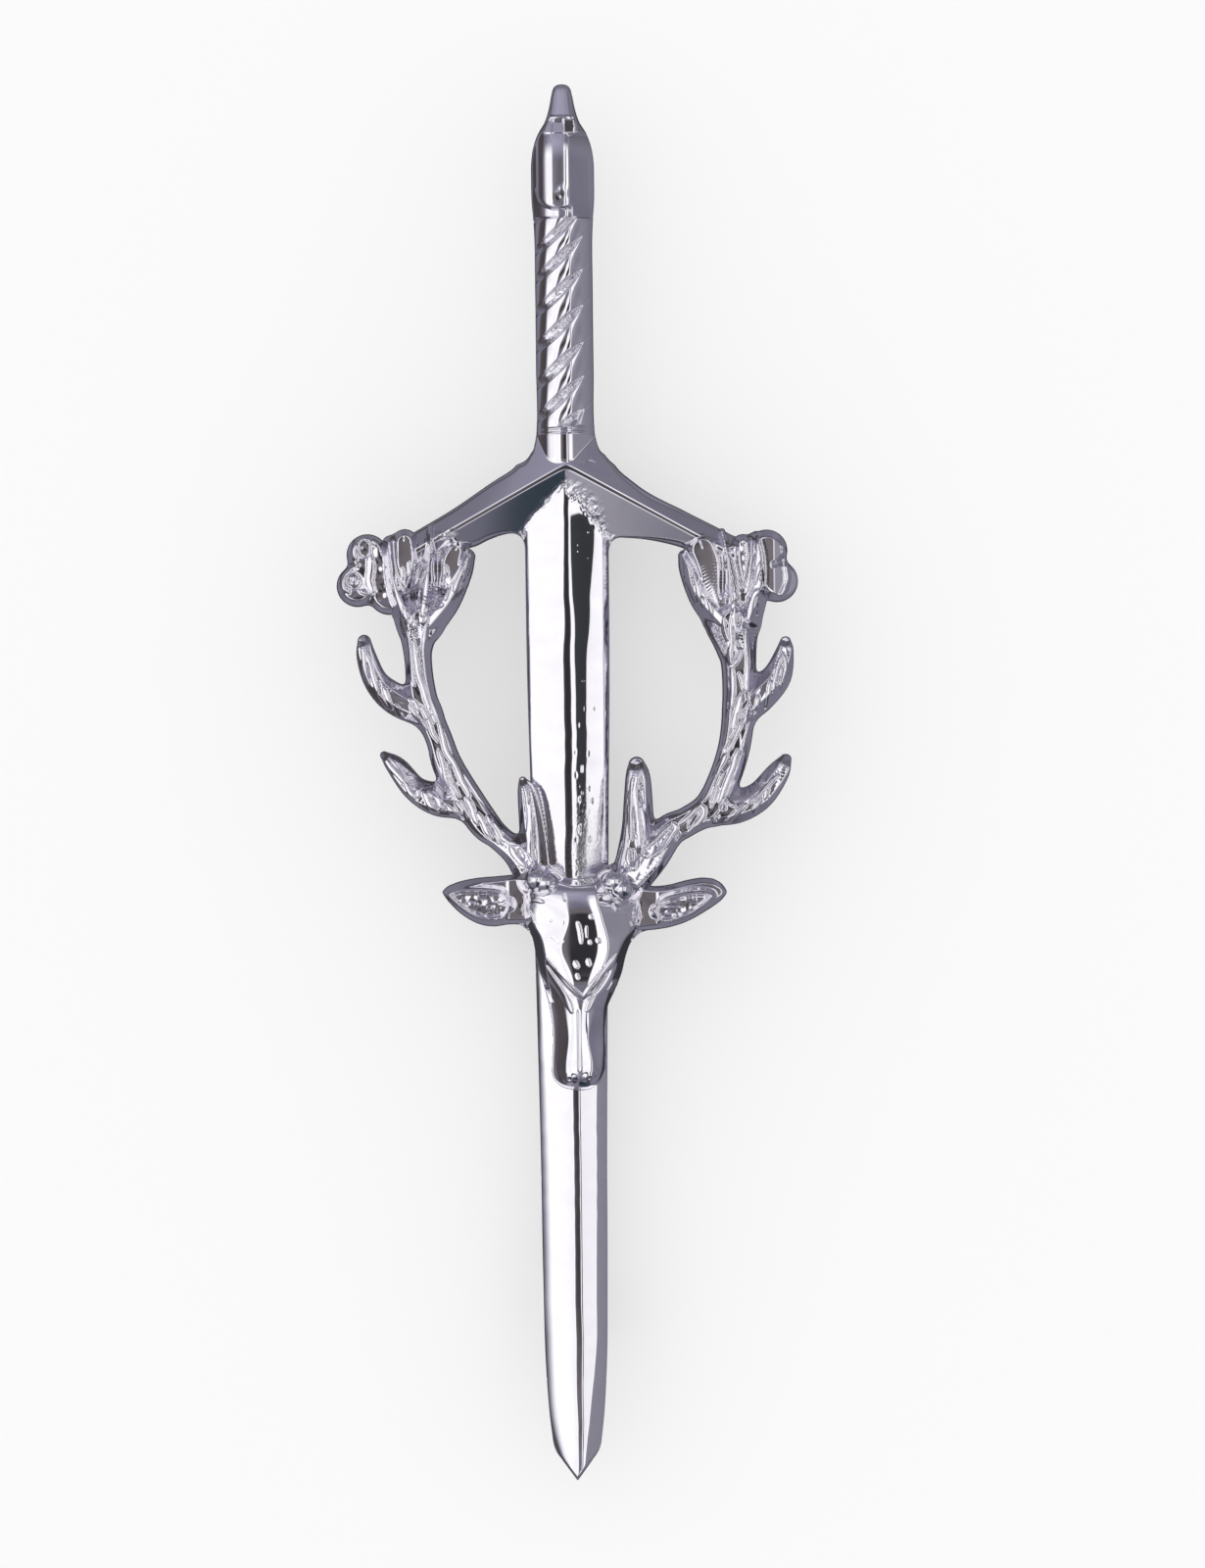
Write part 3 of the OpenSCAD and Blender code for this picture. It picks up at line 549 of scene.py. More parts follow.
def sword_height(x, y):
    """Front of the guard and the blade: the highest of arms, blade, collar and lobes, with a
    rough fillet where the blade runs under the guard."""
    arms = both(arm_height(x, y), wall(cross_edge(x, y), 1.3, 3.0), 0.15)
    blade = np.where(y < 23.4, blade_height(x, y), ABSENT)
    blade = np.where(y < 17.5, both(blade, 0.9 - 6.0 * guard_edge(x, y), 0.05), blade)
    ragged = 0.16 * lumps(x, y, 0.5, 71) + 0.08 * lumps(x, y, 0.24, 72)
    collar = 3.1 + carved(x, y, COLLAR) - 0.35 * np.maximum(23.6 - y, 0) ** 2
    collar = np.where((y > 21.5) & (y < 25.9), collar, ABSENT)
    seam = hump(arms - blade, 0.05, 0.4 + 0.35 * ramp(x, 0, 0.4)) * (y > 17.2) * (np.abs(x) < 3.6)
    z = either(arms, blade + ragged * seam, 0.06 + 0.3 * ramp(x, 0, 0.4))
    z = either(z + 0.06 * seam * grains(x, y, 77), collar, 0.03)
    lobes, rough = lobe_height(x, y)
    z = either(z, np.where(np.abs(x) > 10, lobes, ABSENT), 0.12)
    lip = both(0.9 - 2.4 * guard_edge(x, y), 0.45 + 0.7 * ramp(np.abs(x), 3.0, 3.4), 0.1)
    z = either(z, lip, 0.08)
    rough = np.maximum(rough * (np.abs(x) > 12), seam)
    cast = ramp(-y, -2.0, 6.0) * (y > -9) * (0.25 + 0.75 * hump(x, 1.2, 1.5)) * (np.abs(x) < 3.2)
    ends = hump(np.hypot(x + 8.9, (y - 18.2) * 1.8), 0, 1.3)
    z = z + 0.035 * ends * grains(x, y, 78) + 0.010 * cast * grains(x, y, 79)
    pit = np.clip(lumps(x, y, 0.23, 81) - 0.9 + 0.22 * ramp(-y, -12, 6), 0, 1)
    pit = pit * (y > -8) * hump(x, 1.2, 1.2)
    return z - 0.4 * pit, np.maximum(np.maximum(rough, 0.8 * cast), ends)


# The stag's antlers

# Out to the side, up from the burr, width and thickness, as shares of the antlers' sizes
LEFT_BEAM = [
    [0.2, 0.01, 1.35, 1.3], [0.29, 0.09, 1, 1.12], [0.38, 0.14, 0.85, 1], [0.46, 0.19, 1.05, 1],
    [0.6, 0.33, 1.02, 1], [0.65, 0.42, 0.88, 0.97], [0.72, 0.53, 0.96, 1],
    [0.74, 0.64, 0.9, 1.03], [0.74, 0.7, 1.12, 1.12], [0.73, 0.75, 1.55, 1.2],
]
RIGHT_BEAM = [
    [0.2, 0.01, 1.35, 1.3], [0.31, 0.08, 1.15, 1.12], [0.39, 0.15, 1.1, 1],
    [0.48, 0.18, 0.98, 1], [0.58, 0.22, 1.05, 1], [0.65, 0.3, 1.05, 1], [0.7, 0.4, 1.06, 1],
    [0.72, 0.52, 1.1, 1.02], [0.72, 0.62, 1.16, 1.06], [0.71, 0.67, 1.36, 1.12],
    [0.69, 0.74, 1.8, 1.2],
]
# The same for the tines, each after how far its top lies towards its outer side and half the
# top's width
LEFT_TINES = [
    (0, 0.45, [[0.22, 0.05, 1.05, 1.15], [0.23, 0.16, 0.92, 1.05], [0.25, 0.26, 0.7, 0.95],
               [0.27, 0.3, 0.28, 0.8]]),
    (0.3, 0.4, [[0.55, 0.24, 1.2, 0.98], [0.66, 0.25, 1.2, 0.96], [0.76, 0.28, 0.92, 0.9],
                [0.84, 0.34, 0.75, 0.82], [0.9, 0.375, 0.3, 0.7]]),
    (0, 0.42, [[0.71, 0.49, 1.05, 1], [0.84, 0.53, 1.15, 0.95], [0.93, 0.58, 0.9, 0.9],
               [0.975, 0.65, 0.72, 0.82], [0.985, 0.695, 0.48, 0.72]]),
    (0, 0.2, [[0.76, 0.74, 1.05, 1.18], [0.825, 0.81, 0.88, 1.2], [0.86, 0.91, 0.68, 1.22],
              [0.865, 0.97, 0.5, 1.18]]),
    (0, 0.1, [[0.72, 0.75, 1.05, 1.2], [0.69, 0.87, 0.74, 1.24], [0.675, 0.97, 0.52, 1.22],
              [0.67, 1.015, 0.26, 1.15]]),
    (0, 0.2, [[0.69, 0.74, 1.05, 1.18], [0.61, 0.8, 0.98, 1.18], [0.54, 0.88, 0.78, 1.12],
              [0.5, 0.93, 0.42, 1.05]]),
]
RIGHT_TINES = [
    (0, 0.5, [[0.22, 0.05, 1.25, 1.15], [0.25, 0.15, 1.18, 1.08], [0.255, 0.24, 1.05, 1],
              [0.255, 0.305, 0.9, 0.92], [0.25, 0.34, 0.6, 0.8]]),
    (0.15, 0.42, [[0.61, 0.21, 1.15, 0.98], [0.71, 0.22, 1.2, 0.96], [0.81, 0.25, 1.05, 0.9],
                  [0.89, 0.31, 0.84, 0.82], [0.93, 0.35, 0.42, 0.7]]),
    (0, 0.42, [[0.74, 0.49, 1.15, 1.02], [0.82, 0.535, 1.25, 0.98], [0.895, 0.585, 1.05, 0.92],
               [0.93, 0.65, 0.66, 0.84], [0.935, 0.68, 0.4, 0.74]]),
    (0, 0.2, [[0.76, 0.74, 1.05, 1.18], [0.805, 0.83, 0.92, 1.2], [0.815, 0.91, 0.8, 1.22],
              [0.81, 0.97, 0.56, 1.18]]),
    (0, 0.1, [[0.7, 0.75, 1, 1.2], [0.685, 0.85, 0.66, 1.24], [0.67, 0.93, 0.48, 1.22],
              [0.65, 0.99, 0.26, 1.15]]),
    (0, 0.2, [[0.65, 0.735, 1.05, 1.18], [0.56, 0.8, 0.9, 1.18], [0.5, 0.88, 0.7, 1.12],
              [0.47, 0.925, 0.32, 1.05]]),
]
# Smooth hollows between the tines of the crowns: their slope down to the right, and rows of x,
# y, half width and height
FLOORS = {
    -1: [
        (0.085, [[-11.8, 14.4, 0.45, 2.9], [-11.75, 15.3, 0.85, 3.1],
                 [-11.75, 16.4, 1.05, 3.18], [-11.8, 17.6, 1, 3.2]]),
        (0.085, [[-8.9, 14.8, 0.5, 2.9], [-8.6, 15.5, 0.85, 3.1], [-8.4, 16.2, 1, 3.15],
                 [-8.1, 16.9, 0.9, 3.15]]),
    ],
    1: [
        (0.085, [[12.75, 14.1, 0.35, 2.95], [12.8, 15, 0.6, 3.1], [12.8, 16.2, 0.8, 3.18],
                 [12.8, 17.2, 0.75, 3.2]]),
        (0.07, [[10.9, 12.9, 0.5, 2.8], [10.5, 14.2, 0.9, 3], [10.25, 15.8, 1.2, 3.12],
                [9.9, 16.8, 1.25, 3.15]]),
    ],
}
# Raised lines on the antlers: half width, rise and points
LEFT_LINES = [
    # Lower tine
    (0.15, 0.22, -13.5, 1.95, -13, 1.25, -12.4, 0.6, -12, 0.1),
    (0.15, 0.22, -11.95, 0.1, -11.65, -0.5, -11.35, -1),
    (0.12, 0.2, -11.1, -0.35, -11.05, -0.95),
    (0.16, 0.22, -10.6, -0.5, -10.35, -1.2, -10, -1.8, -9.65, -2.15),
    (0.17, 0.24, -10.3, -0.5, -9.9, -0.7, -9.55, -1.2, -9.4, -1.7),
    # Beam from the brow tine up to the upper tine
    (0.16, 0.24, -8.9, -1.65, -8.5, -2.15, -8.1, -2.6, -7.7, -2.85),
    (0.1, 0.2, -7.95, -1.3, -7.65, -1.9, -7.3, -2.5),
    (0.16, 0.24, -7.5, -1.1, -7.15, -1.7, -6.95, -2.4, -6.75, -2.9),
    (0.15, 0.24, -6.7, -2.2, -6.35, -2.8, -6.1, -3.4, -5.7, -3.9),
    (0.11, 0.22, -6, -2.4, -5.75, -3, -5.35, -3.6, -5.1, -4.2),
    (0.09, 0.2, -5.5, -2.9, -5.1, -3.6, -4.85, -4.2),
    (0.13, 0.24, -4.9, -3.9, -4.4, -4.3, -3.8, -4.35, -3.35, -4.2, -3.25, -3.6),
    (0.16, 0.22, -4.35, -4.6, -4.15, -5.1, -3.75, -5.6, -3.35, -6),
    (0.1, 0.22, -9.5, 2.4, -9.25, 1.6, -9.05, 0.6, -8.9, -0.3),
    (0.15, 0.25, -9.4, 4.3, -9.15, 3.2, -8.9, 2.3, -8.45, 1.6, -8.1, 0.9, -7.85, 0.2, -7.5,
     -0.4, -7.3, -0.9),
    (0.09, 0.2, -8.85, 1.5, -8.85, 0.9, -8.6, 0.2, -8.3, -0.4, -8, -0.9),
    (0.09, 0.2, -9, -0.3, -8.9, -0.8, -8.5, -0.9),
    # Brow tine
    (0.09, 0.2, -3.4, 0.1, -3.15, -0.9, -3.05, -2),
    (0.2, 0.26, -2.95, -1.4, -2.9, -2.4, -2.95, -3.4, -3, -4.6, -2.85, -5.6),
    (0.11, 0.22, -2.75, -0.5, -2.5, -1.8, -2.4, -3, -2.35, -4.5, -2.3, -5.6, -2.6, -6.2),
    # Beam between the upper tine and the crown
    (0.09, 0.2, -11.75, 11.2, -11.55, 10, -11.45, 9, -11.35, 8, -11.2, 7.2),
    (0.14, 0.25, -11.2, 10.3, -11.05, 9, -10.9, 8, -10.6, 7, -10.3, 6, -10, 5.2, -9.7, 4.5),
    (0.15, 0.26, -10.2, 11.5, -10.4, 10.7, -10.45, 9.8, -10.4, 9, -10.3, 8, -10.15, 7.2, -9.9,
     6.2, -9.7, 5.4, -9.4, 4.5),
    (0.13, 0.2, -11.6, 6.3, -11.2, 5.9, -10.9, 5.4),
    (0.1, 0.2, -11.5, 5.7, -11.2, 5.1, -10.7, 4.5, -10.3, 4),
    (0.1, 0.2, -10.7, 5.6, -10.4, 5, -10.1, 4.4, -9.9, 3.7, -9.5, 3.1),
    # Upper tine
    (0.12, 0.22, -15, 10.2, -14.9, 9.5, -14.85, 8.8, -14.75, 8, -14.5, 7.3),
    (0.12, 0.22, -14.7, 9.5, -14.45, 8.8, -14.25, 8, -14.05, 7.3, -13.9, 6.8),
    (0.14, 0.22, -13.45, 7, -13.25, 6.5, -13.05, 5.9, -12.85, 5.4),
    (0.11, 0.2, -13.85, 6.6, -13.5, 6.1, -13.15, 5.5),
    (0.18, 0.24, -12.55, 5.7, -12.4, 5.2, -12.15, 4.8),
    # Crown
    (0.22, 0.28, -13.15, 17.2, -13, 16.4, -12.8, 15.8, -12.6, 15.2, -12.42, 14.4, -12.25, 13.6,
     -12, 12.8, -11.8, 11.9, -11.65, 11.2),
    (0.13, 0.22, -11.45, 13.6, -11.3, 12.8, -11.35, 12.1, -11.5, 11.5),
    (0.19, 0.34, -10.05, 17.4, -9.9, 16.5, -9.78, 15.6, -9.75, 14.7, -9.6, 14, -9.4, 13.5),
    (0.12, 0.12, -12, 15.7, -11.9, 15), (0.1, 0.12, -11.5, 16.1, -11.45, 15.2),
    (0.3, 0.1, -9, 15.7, -8.85, 15.2),
    (0.14, 0.22, -10.2, 15.3, -10.6, 14.7, -10.9, 14.1, -10.95, 13.4, -10.8, 12.7),
    (0.12, 0.22, -10.5, 13.6, -10.1, 13.2, -10.1, 12.5, -10.3, 11.9),
    (0.07, 0.2, -6.85, 16.7, -6.95, 16, -7.2, 15.2, -7.6, 14.4),
    (0.13, 0.24, -7.55, 15.9, -7.8, 15.2, -8.05, 14.6, -8.2, 14),
    (0.13, 0.24, -8.6, 14.3, -8.8, 13.8, -8.9, 13.4),
]
LEFT_PITS = [
    (0.3, 0.12, -11.7, 0.4, -11.3, -0.4), (0.3, 0.12, -8.65, 1.3, -8.5, 0.6, -8.2, -0.1),
    (0.26, 0.12, -8.3, -1.3, -7.9, -2, -7.6, -2.6), (0.16, 0.14, -5.9, -2.9, -5.55, -3.7),
    (0.2, 0.14, -3.75, -4.8, -3.4, -5.5), (0.13, 0.16, -2.65, -2.6, -2.65, -4.9),
    (0.09, 0.25, -9.95, -1, -9.65, -1.8), (0.09, 0.25, -9.35, -1.35, -8.95, -1.8),
    (0.13, 0.12, -10.78, 10, -10.75, 8.6, -10.45, 7.2), (0.12, 0.3, -11.2, 11, -10.9, 10.7),
    (0.12, 0.14, -14.6, 8.9, -14.5, 7.7), (0.1, 0.3, -13.8, 7.5, -13.7, 7.1),
    (0.22, 0.16, -11.75, 13.2, -11.75, 12.6, -11.75, 11.9),
    (0.13, 0.3, -11.75, 14, -11.6, 13.7), (0.26, 0.12, -10.5, 13.1, -10.45, 12.2),
    (0.2, 0.35, -9.75, 12.75, -9.4, 12.95, -9.05, 13.05), (0.12, 0.16, -13.05, 16, -13.1, 15.7),
    (0.12, 0.16, -12.85, 15, -12.8, 14.6), (0.13, 0.3, -10.1, 15.95, -10.5, 15.55, -10.85, 15),
]
RIGHT_LINES = [
    # Brow tine
    (0.08, 0.15, 4.12, 0.7, 4.08, -0.8, 3.98, -2.4, 3.85, -4.2),
    (0.15, 0.26, 4.95, 1.1, 4.9, 0.4, 4.75, -0.6, 4.8, -1.6, 4.9, -2.6, 4.98, -3.6, 5.05, -4.6),
    (0.1, 0.22, 4.8, 0.8, 4.55, -0.2, 4.42, -1.4, 4.38, -2.8, 4.42, -4.2),
    (0.1, 0.22, 5.25, 0.9, 5.45, 0, 5.55, -1, 5.55, -1.9),
    (0.13, 0.25, 5.2, -1.9, 5.35, -2.9, 5.5, -3.9, 5.7, -4.8),
    (0.11, 0.24, 4.25, -4.9, 4.2, -5.7, 4.45, -6.3, 4.8, -6.1, 4.9, -5.4),
    # Beam
    (0.11, 0.24, 5.8, -4.6, 6.3, -4.15, 6.8, -3.65, 7.3, -3.2),
    (0.14, 0.25, 6, -5.4, 6.5, -5, 7, -4.5, 7.4, -3.9, 7.7, -3.4, 7.5, -3.1),
    (0.1, 0.24, 8, -3.1, 8.6, -2.6, 9.1, -2.1, 9.5, -1.8),
    (0.13, 0.25, 8.45, -4, 8.85, -3.6, 9.35, -3, 9.7, -2.5, 9.75, -2.1, 9.5, -1.75),
    (0.11, 0.24, 9.7, -1.4, 10, -0.9, 10.3, -0.2, 10.6, 0.4),
    (0.17, 0.26, 10.7, 0.5, 10.95, 1, 11.25, 1.5, 11.45, 1.95),
    (0.14, 0.26, 10.9, -1.5, 11.2, -0.7, 11.55, 0.2, 11.85, 0.9, 12.05, 1.6, 12.25, 2.2),
    (0.07, 0.18, 10.3, -1.9, 10.6, -0.9, 10.9, 0, 11.2, 0.6),
    (0.08, 0.2, 11.1, 2.2, 11.5, 2.9, 11.9, 3.5, 12.2, 4.2),
    (0.08, 0.2, 11.5, 2.1, 11.9, 2.8, 12.3, 3.6, 12.6, 4.3),
    (0.1, 0.24, 11.3, 2.6, 11.5, 3.4, 11.6, 4.2, 11.7, 5.2),
    (0.1, 0.22, 12.6, 2.4, 12.9, 3.2, 13.2, 4.2),
    # Lower tine
    (0.1, 0.24, 15.2, 0.35, 14.8, 0.05, 14.45, -0.35, 14, -0.85, 13.5, -1.3, 13.1, -1.6),
    (0.12, 0.24, 14.45, -0.4, 14.3, -0.9, 14.2, -1.3),
    (0.12, 0.24, 13.9, -1.3, 13.6, -1.8, 13.4, -2.3),
    (0.14, 0.25, 12.8, -1.75, 12.3, -2.15, 11.8, -2.6, 11.35, -3.1),
    (0.1, 0.2, 11.3, -1.2, 11.6, -1.6, 12, -1.9),
    # Upper part of the beam
    (0.15, 0.27, 12.6, 6.3, 12.35, 5.5, 12.1, 4.6, 11.9, 3.8),
    (0.12, 0.26, 11.9, 8.15, 11.95, 7.2, 11.95, 6.2, 11.8, 5.4),
    (0.1, 0.24, 11.95, 12, 11.85, 11, 11.9, 10, 11.75, 9.2, 11.85, 8.5),
    (0.18, 0.24, 13, 10.9, 13.1, 9.6, 13.1, 8.5, 13, 7.5, 12.95, 6.6),
    (0.07, 0.18, 12, 8.3, 12.35, 8.8, 12.6, 9.4),
    (0.12, 0.24, 13.8, 6.1, 13.7, 5.5, 13.6, 4.8),
    (0.08, 0.18, 12.4, 7.8, 12.6, 7.2, 12.7, 6.6),
    (0.08, 0.18, 13.1, 5.6, 12.9, 4.9, 12.8, 4.2),
    # Upper tine
    (0.09, 0.24, 15.65, 9.2, 15.35, 8.6, 15.15, 7.8, 14.95, 7, 14.9, 6.3),
    (0.09, 0.24, 15.75, 9, 15.8, 8.2, 15.65, 7.4, 15.5, 6.6),
    (0.12, 0.24, 14.7, 7.2, 14.6, 6.6, 14.5, 5.8, 14.4, 4.9),
    # Crown
    (0.07, 0.22, 8.3, 16.2, 8.35, 15.5, 8.4, 14.9, 8.6, 14.2),
    (0.13, 0.28, 8.95, 16.1, 8.78, 15.5, 8.8, 14.6, 9.1, 13.7, 9.35, 13),
    (0.13, 0.28, 9, 16, 9.25, 15.3, 9.4, 14.5, 9.5, 13.8, 9.6, 13.1),
    (0.08, 0.24, 9.65, 14.5, 9.9, 13.9, 10.2, 13.2, 10.4, 12.5, 10.5, 11.9),
    (0.15, 0.34, 11.5, 17.5, 11.75, 16.6, 11.85, 15.8, 11.9, 15, 11.85, 14, 11.9, 13.2, 11.75,
     12.8),
    (0.11, 0.24, 12.25, 15.2, 12.35, 14.6, 12.5, 14, 12.7, 13.5, 13.05, 13.3),
    (0.12, 0.12, 12.75, 17, 12.8, 16.7),
    (0.1, 0.1, 12.85, 16.3, 12.9, 16),
    (0.1, 0.1, 12.9, 15.6, 13, 15.2),
    (0.12, 0.28, 14.15, 15.9, 13.9, 15.3, 13.7, 14.8, 13.6, 14.3),
    (0.12, 0.28, 14.25, 15.9, 14.42, 15.1, 14.42, 14.4),
    (0.17, 0.3, 14.1, 13.8, 13.7, 13.65, 13.4, 13.2, 13.25, 12.5, 13.1, 11.7),
    (0.08, 0.16, 13.95, 13.1, 13.9, 12.5, 13.85, 11.9),
    (0.09, 0.22, 12.1, 12.5, 12.1, 11.6, 12.25, 10.7),
    (0.09, 0.22, 12.65, 12.5, 12.75, 11.6, 12.5, 10.8),
    (0.08, 0.2, 11.3, 11.9, 11.35, 11, 11.6, 10.2),
]
RIGHT_PITS = [
    (0.22, 0.14, 5.25, -0.3, 5.25, -1.6), (0.16, 0.14, 4.62, -1.9, 4.65, -4),
    (0.18, 0.14, 4.55, -4.9, 4.6, -5.9), (0.2, 0.3, 5.3, -5.3, 5.6, -5.4),
    (0.2, 0.12, 6.4, -4.6, 7.2, -3.6), (0.16, 0.3, 7.6, -4.3, 7.9, -3.7),
    (0.22, 0.12, 8.6, -3.4, 9.3, -2.3), (0.22, 0.12, 10.3, -1.7, 10.8, -0.4),
    (0.13, 0.4, 11.1, 0.6, 11.4, 1, 11.7, 1.6), (0.2, 0.4, 11, -1.9, 11.3, -2),
    (0.15, 0.3, 10.5, -2.6, 10.8, -2.6), (0.1, 0.15, 9.9, -2.85, 10.2, -2.75),
    (0.1, 0.35, 12.7, 6.3, 12.7, 5.7), (0.12, 0.16, 12.4, 9.4, 12.2, 8.8),
    (0.2, 0.14, 15.5, 8.3, 15.3, 7), (0.12, 0.14, 9.08, 14.8, 9.15, 14.2),
    (0.16, 0.14, 9.75, 13.4, 9.9, 12.6), (0.15, 0.14, 12.15, 15.4, 12.3, 14.3),
    (0.1, 0.14, 14.1, 14.9, 14.05, 14.5), (0.12, 0.4, 12.5, 13, 12.85, 13.05),
    (0.08, 0.35, 11.2, 12, 11.5, 12.25, 11.8, 12.4), (0.08, 0.35, 12.95, 12.8, 12.93, 12),
    (0.2, 0.12, 12.4, 12.2, 12.4, 11.2), (0.1, 0.3, 12.3, 10.1, 12.5, 9.8),
    (0.12, 0.14, 12.75, 5.2, 12.6, 4.4), (0.1, 0.3, 13.3, 5.4, 13.2, 4.8),
]
ANTLER_LINES = {-1: LEFT_LINES, 1: RIGHT_LINES}
ANTLER_PITS = {-1: LEFT_PITS, 1: RIGHT_PITS}


def to_plan(rows, side, width):
    """Rows of shares as x, y, half width and height in millimetres."""
    out, up, wide, thick = np.array(rows).T
    return np.column_stack([HEAD_X + side * ANTLER_REACH * out, BURR_Y + ANTLER_RISE * up,
                            wide * width / 2, thick * ANTLER_THICKNESS])


# The beam first, then the tines in the tables' order. Tines past CROWN belong to the crown.
CROWN = 3
STROKES = {
    side: [(0.0, 0.62, to_plan(beam, side, BEAM_WIDTH))]
    + [(shift, flat, to_plan(rows, side, TINE_WIDTH)) for shift, flat, rows in tines]
    for side, beam, tines in ((-1, LEFT_BEAM, LEFT_TINES), (1, RIGHT_BEAM, RIGHT_TINES))
}


def antler_edge(side, x, y):
    """Distance out of an antler: the nearest stroke's, with fillets in the forks."""
    out = np.full(x.shape, FAR_OUT)
    for *_, rows in STROKES[side] + FLOORS[side]:
        here = near_line(x, y, rows, 2.8)
        out[here] = both(out[here], stroke(x[here], y[here], rows)[0], 0.55)
    return out


def antler_height(side, x, y):
    """Height of an antler: each beam and tine leans in from its outline to a narrow top, which
    may lie off its middle, and the highest of them shows. The crown's tines have sharp tops that
    rise to one side, every tine falls away near its tip, and smooth hollows lie between those of
    the crown. Raised lines and sunk leaves lie on all of it."""
    z = np.full(x.shape, GROUND)
    for number, (shift, flat, rows) in enumerate(STROKES[side]):
        here = near_line(x, y, rows, 1.8)
        out, length, across, _, high = stroke(x[here], y[here], rows)
        off = np.maximum(np.abs(across - side * shift) - flat, 0)
        streak = 0.020 * lumps(across + 0.25 * length, 0.32 * length, 0.3, 60 + 9 * side + number)
        crown = high - 0.34 - 1.25 * off + streak
        if number > CROWN:
            crown = high - 0.34 - 2.7 * np.maximum(off - 0.02, 0) + 0.3 * across
        if number > 0:
            aim = rows[-1, :2] - rows[-2, :2]
            aim = aim / np.hypot(*aim)
            past = (x[here] - rows[-1, 0]) * aim[0] + (y[here] - rows[-1, 1]) * aim[1]
            crown = crown - 0.95 * np.maximum(past + 0.4, 0)
        sides = both(ANTLER_WALL - WALL_LEAN * out, crown, 0.12)
        z[here] = either(z[here], np.where(out > 0.5, GROUND, sides), 0.12)
    for lean, rows in FLOORS[side]:
        here = near_line(x, y, rows, 1.6)
        out, _, across, _, high = stroke(x[here], y[here], rows)
        hollow = high - lean * across - 0.02 * across ** 2
        z[here] = either(z[here], np.where(out < 0.15, hollow, GROUND), 0.02)
    line = welts(x, y, ANTLER_LINES[side])
    down, sunk = pits(x, y, ANTLER_PITS[side])
    rough = 0.5 * sunk * (1 - ramp(line, -0.04, 0.06))
    z = z - down + 0.04 * rough * grains(x, y, 50 + side)
    z = either(z, z + line, 0.04)
    return both(z, wall(antler_edge(side, x, y), ANTLER_WALL), 0.12), rough


def over_sword(own_edge, own_height):
    """Edge and height of a form that lies over the sword. Past its outline it goes on for a
    little way as a fillet that dips just under the sword's own front."""
    def edge(x, y):
        out = own_edge(x, y)
        return np.minimum(out, np.maximum(out - OVERLAP, sword_edge(x, y) + 0.04))

    def height(x, y):
        own, rough = own_height(x, y)
        out = own_edge(x, y)
        sword = np.where(sword_edge(x, y) < 0.02, sword_height(x, y)[0], ABSENT)
        own = np.where(out > 0, 1.1 - 3.0 * out, own)
        z = either(own, sword, 0.25) - DIP * ramp(out, -0.05, 0.25)
        z = np.where(out > 0.4, np.minimum(z, sword - DIP), z)
        corner = hump(own - sword, 0, 0.4) * (sword > -0.5)
        return z + 0.02 * corner * grains(x, y, 55), np.maximum(rough, 0.7 * corner)
    return edge, height


# The stag's head

# Left and right outline of the face
FACE_LEFT = [(-6.4, -3.3), (-8, -3.5), (-9.5, -3.5), (-10.5, -3.2), (-11, -2.95), (-12.5, -2.6),
             (-13.5, -2.4), (-14.8, -2), (-16, -1.7), (-17.5, -1.45), (-19, -1.4),
             (-20.4, -1.48), (-21.2, -1.48), (-21.9, -1.2), (-22.4, -0.8)]
FACE_RIGHT = [(-6.4, 4.9), (-8, 5.2), (-9.5, 5.3), (-10.7, 4.9), (-11.3, 4.5), (-12.5, 4),
              (-14, 3.6), (-15.2, 3.1), (-16.3, 2.6), (-17.5, 2.38), (-20, 2.35), (-21, 2.28),
              (-21.7, 2), (-22.4, 1.5)]
FACE_TOP = [(-3.4, -5.9), (-2.4, -5.9), (-1.5, -6.2), (-0.6, -6.7), (0.8, -6.85), (1.9, -6.65),
            (2.7, -6.1), (3.4, -5.8), (5.2, -5.9)]
# Height of the face along the middle line of the head
FACE_LINE = [(-6.4, 3), (-6.75, 3.5), (-7.1, 4.05), (-7.5, 4.55), (-7.9, 4.95), (-8.4, 5.2),
             (-8.9, 5.33), (-9.4, 5.39), (-10, 5.4), (-12, 5.398), (-14, 5.393), (-14.6, 5.375),
             (-15.3, 5.25), (-16.2, 4.85), (-17, 4.6), (-18.5, 4.4), (-20, 4.35), (-21, 4.38),
             (-21.5, 4.1), (-22, 3.5), (-22.4, 2.7)]
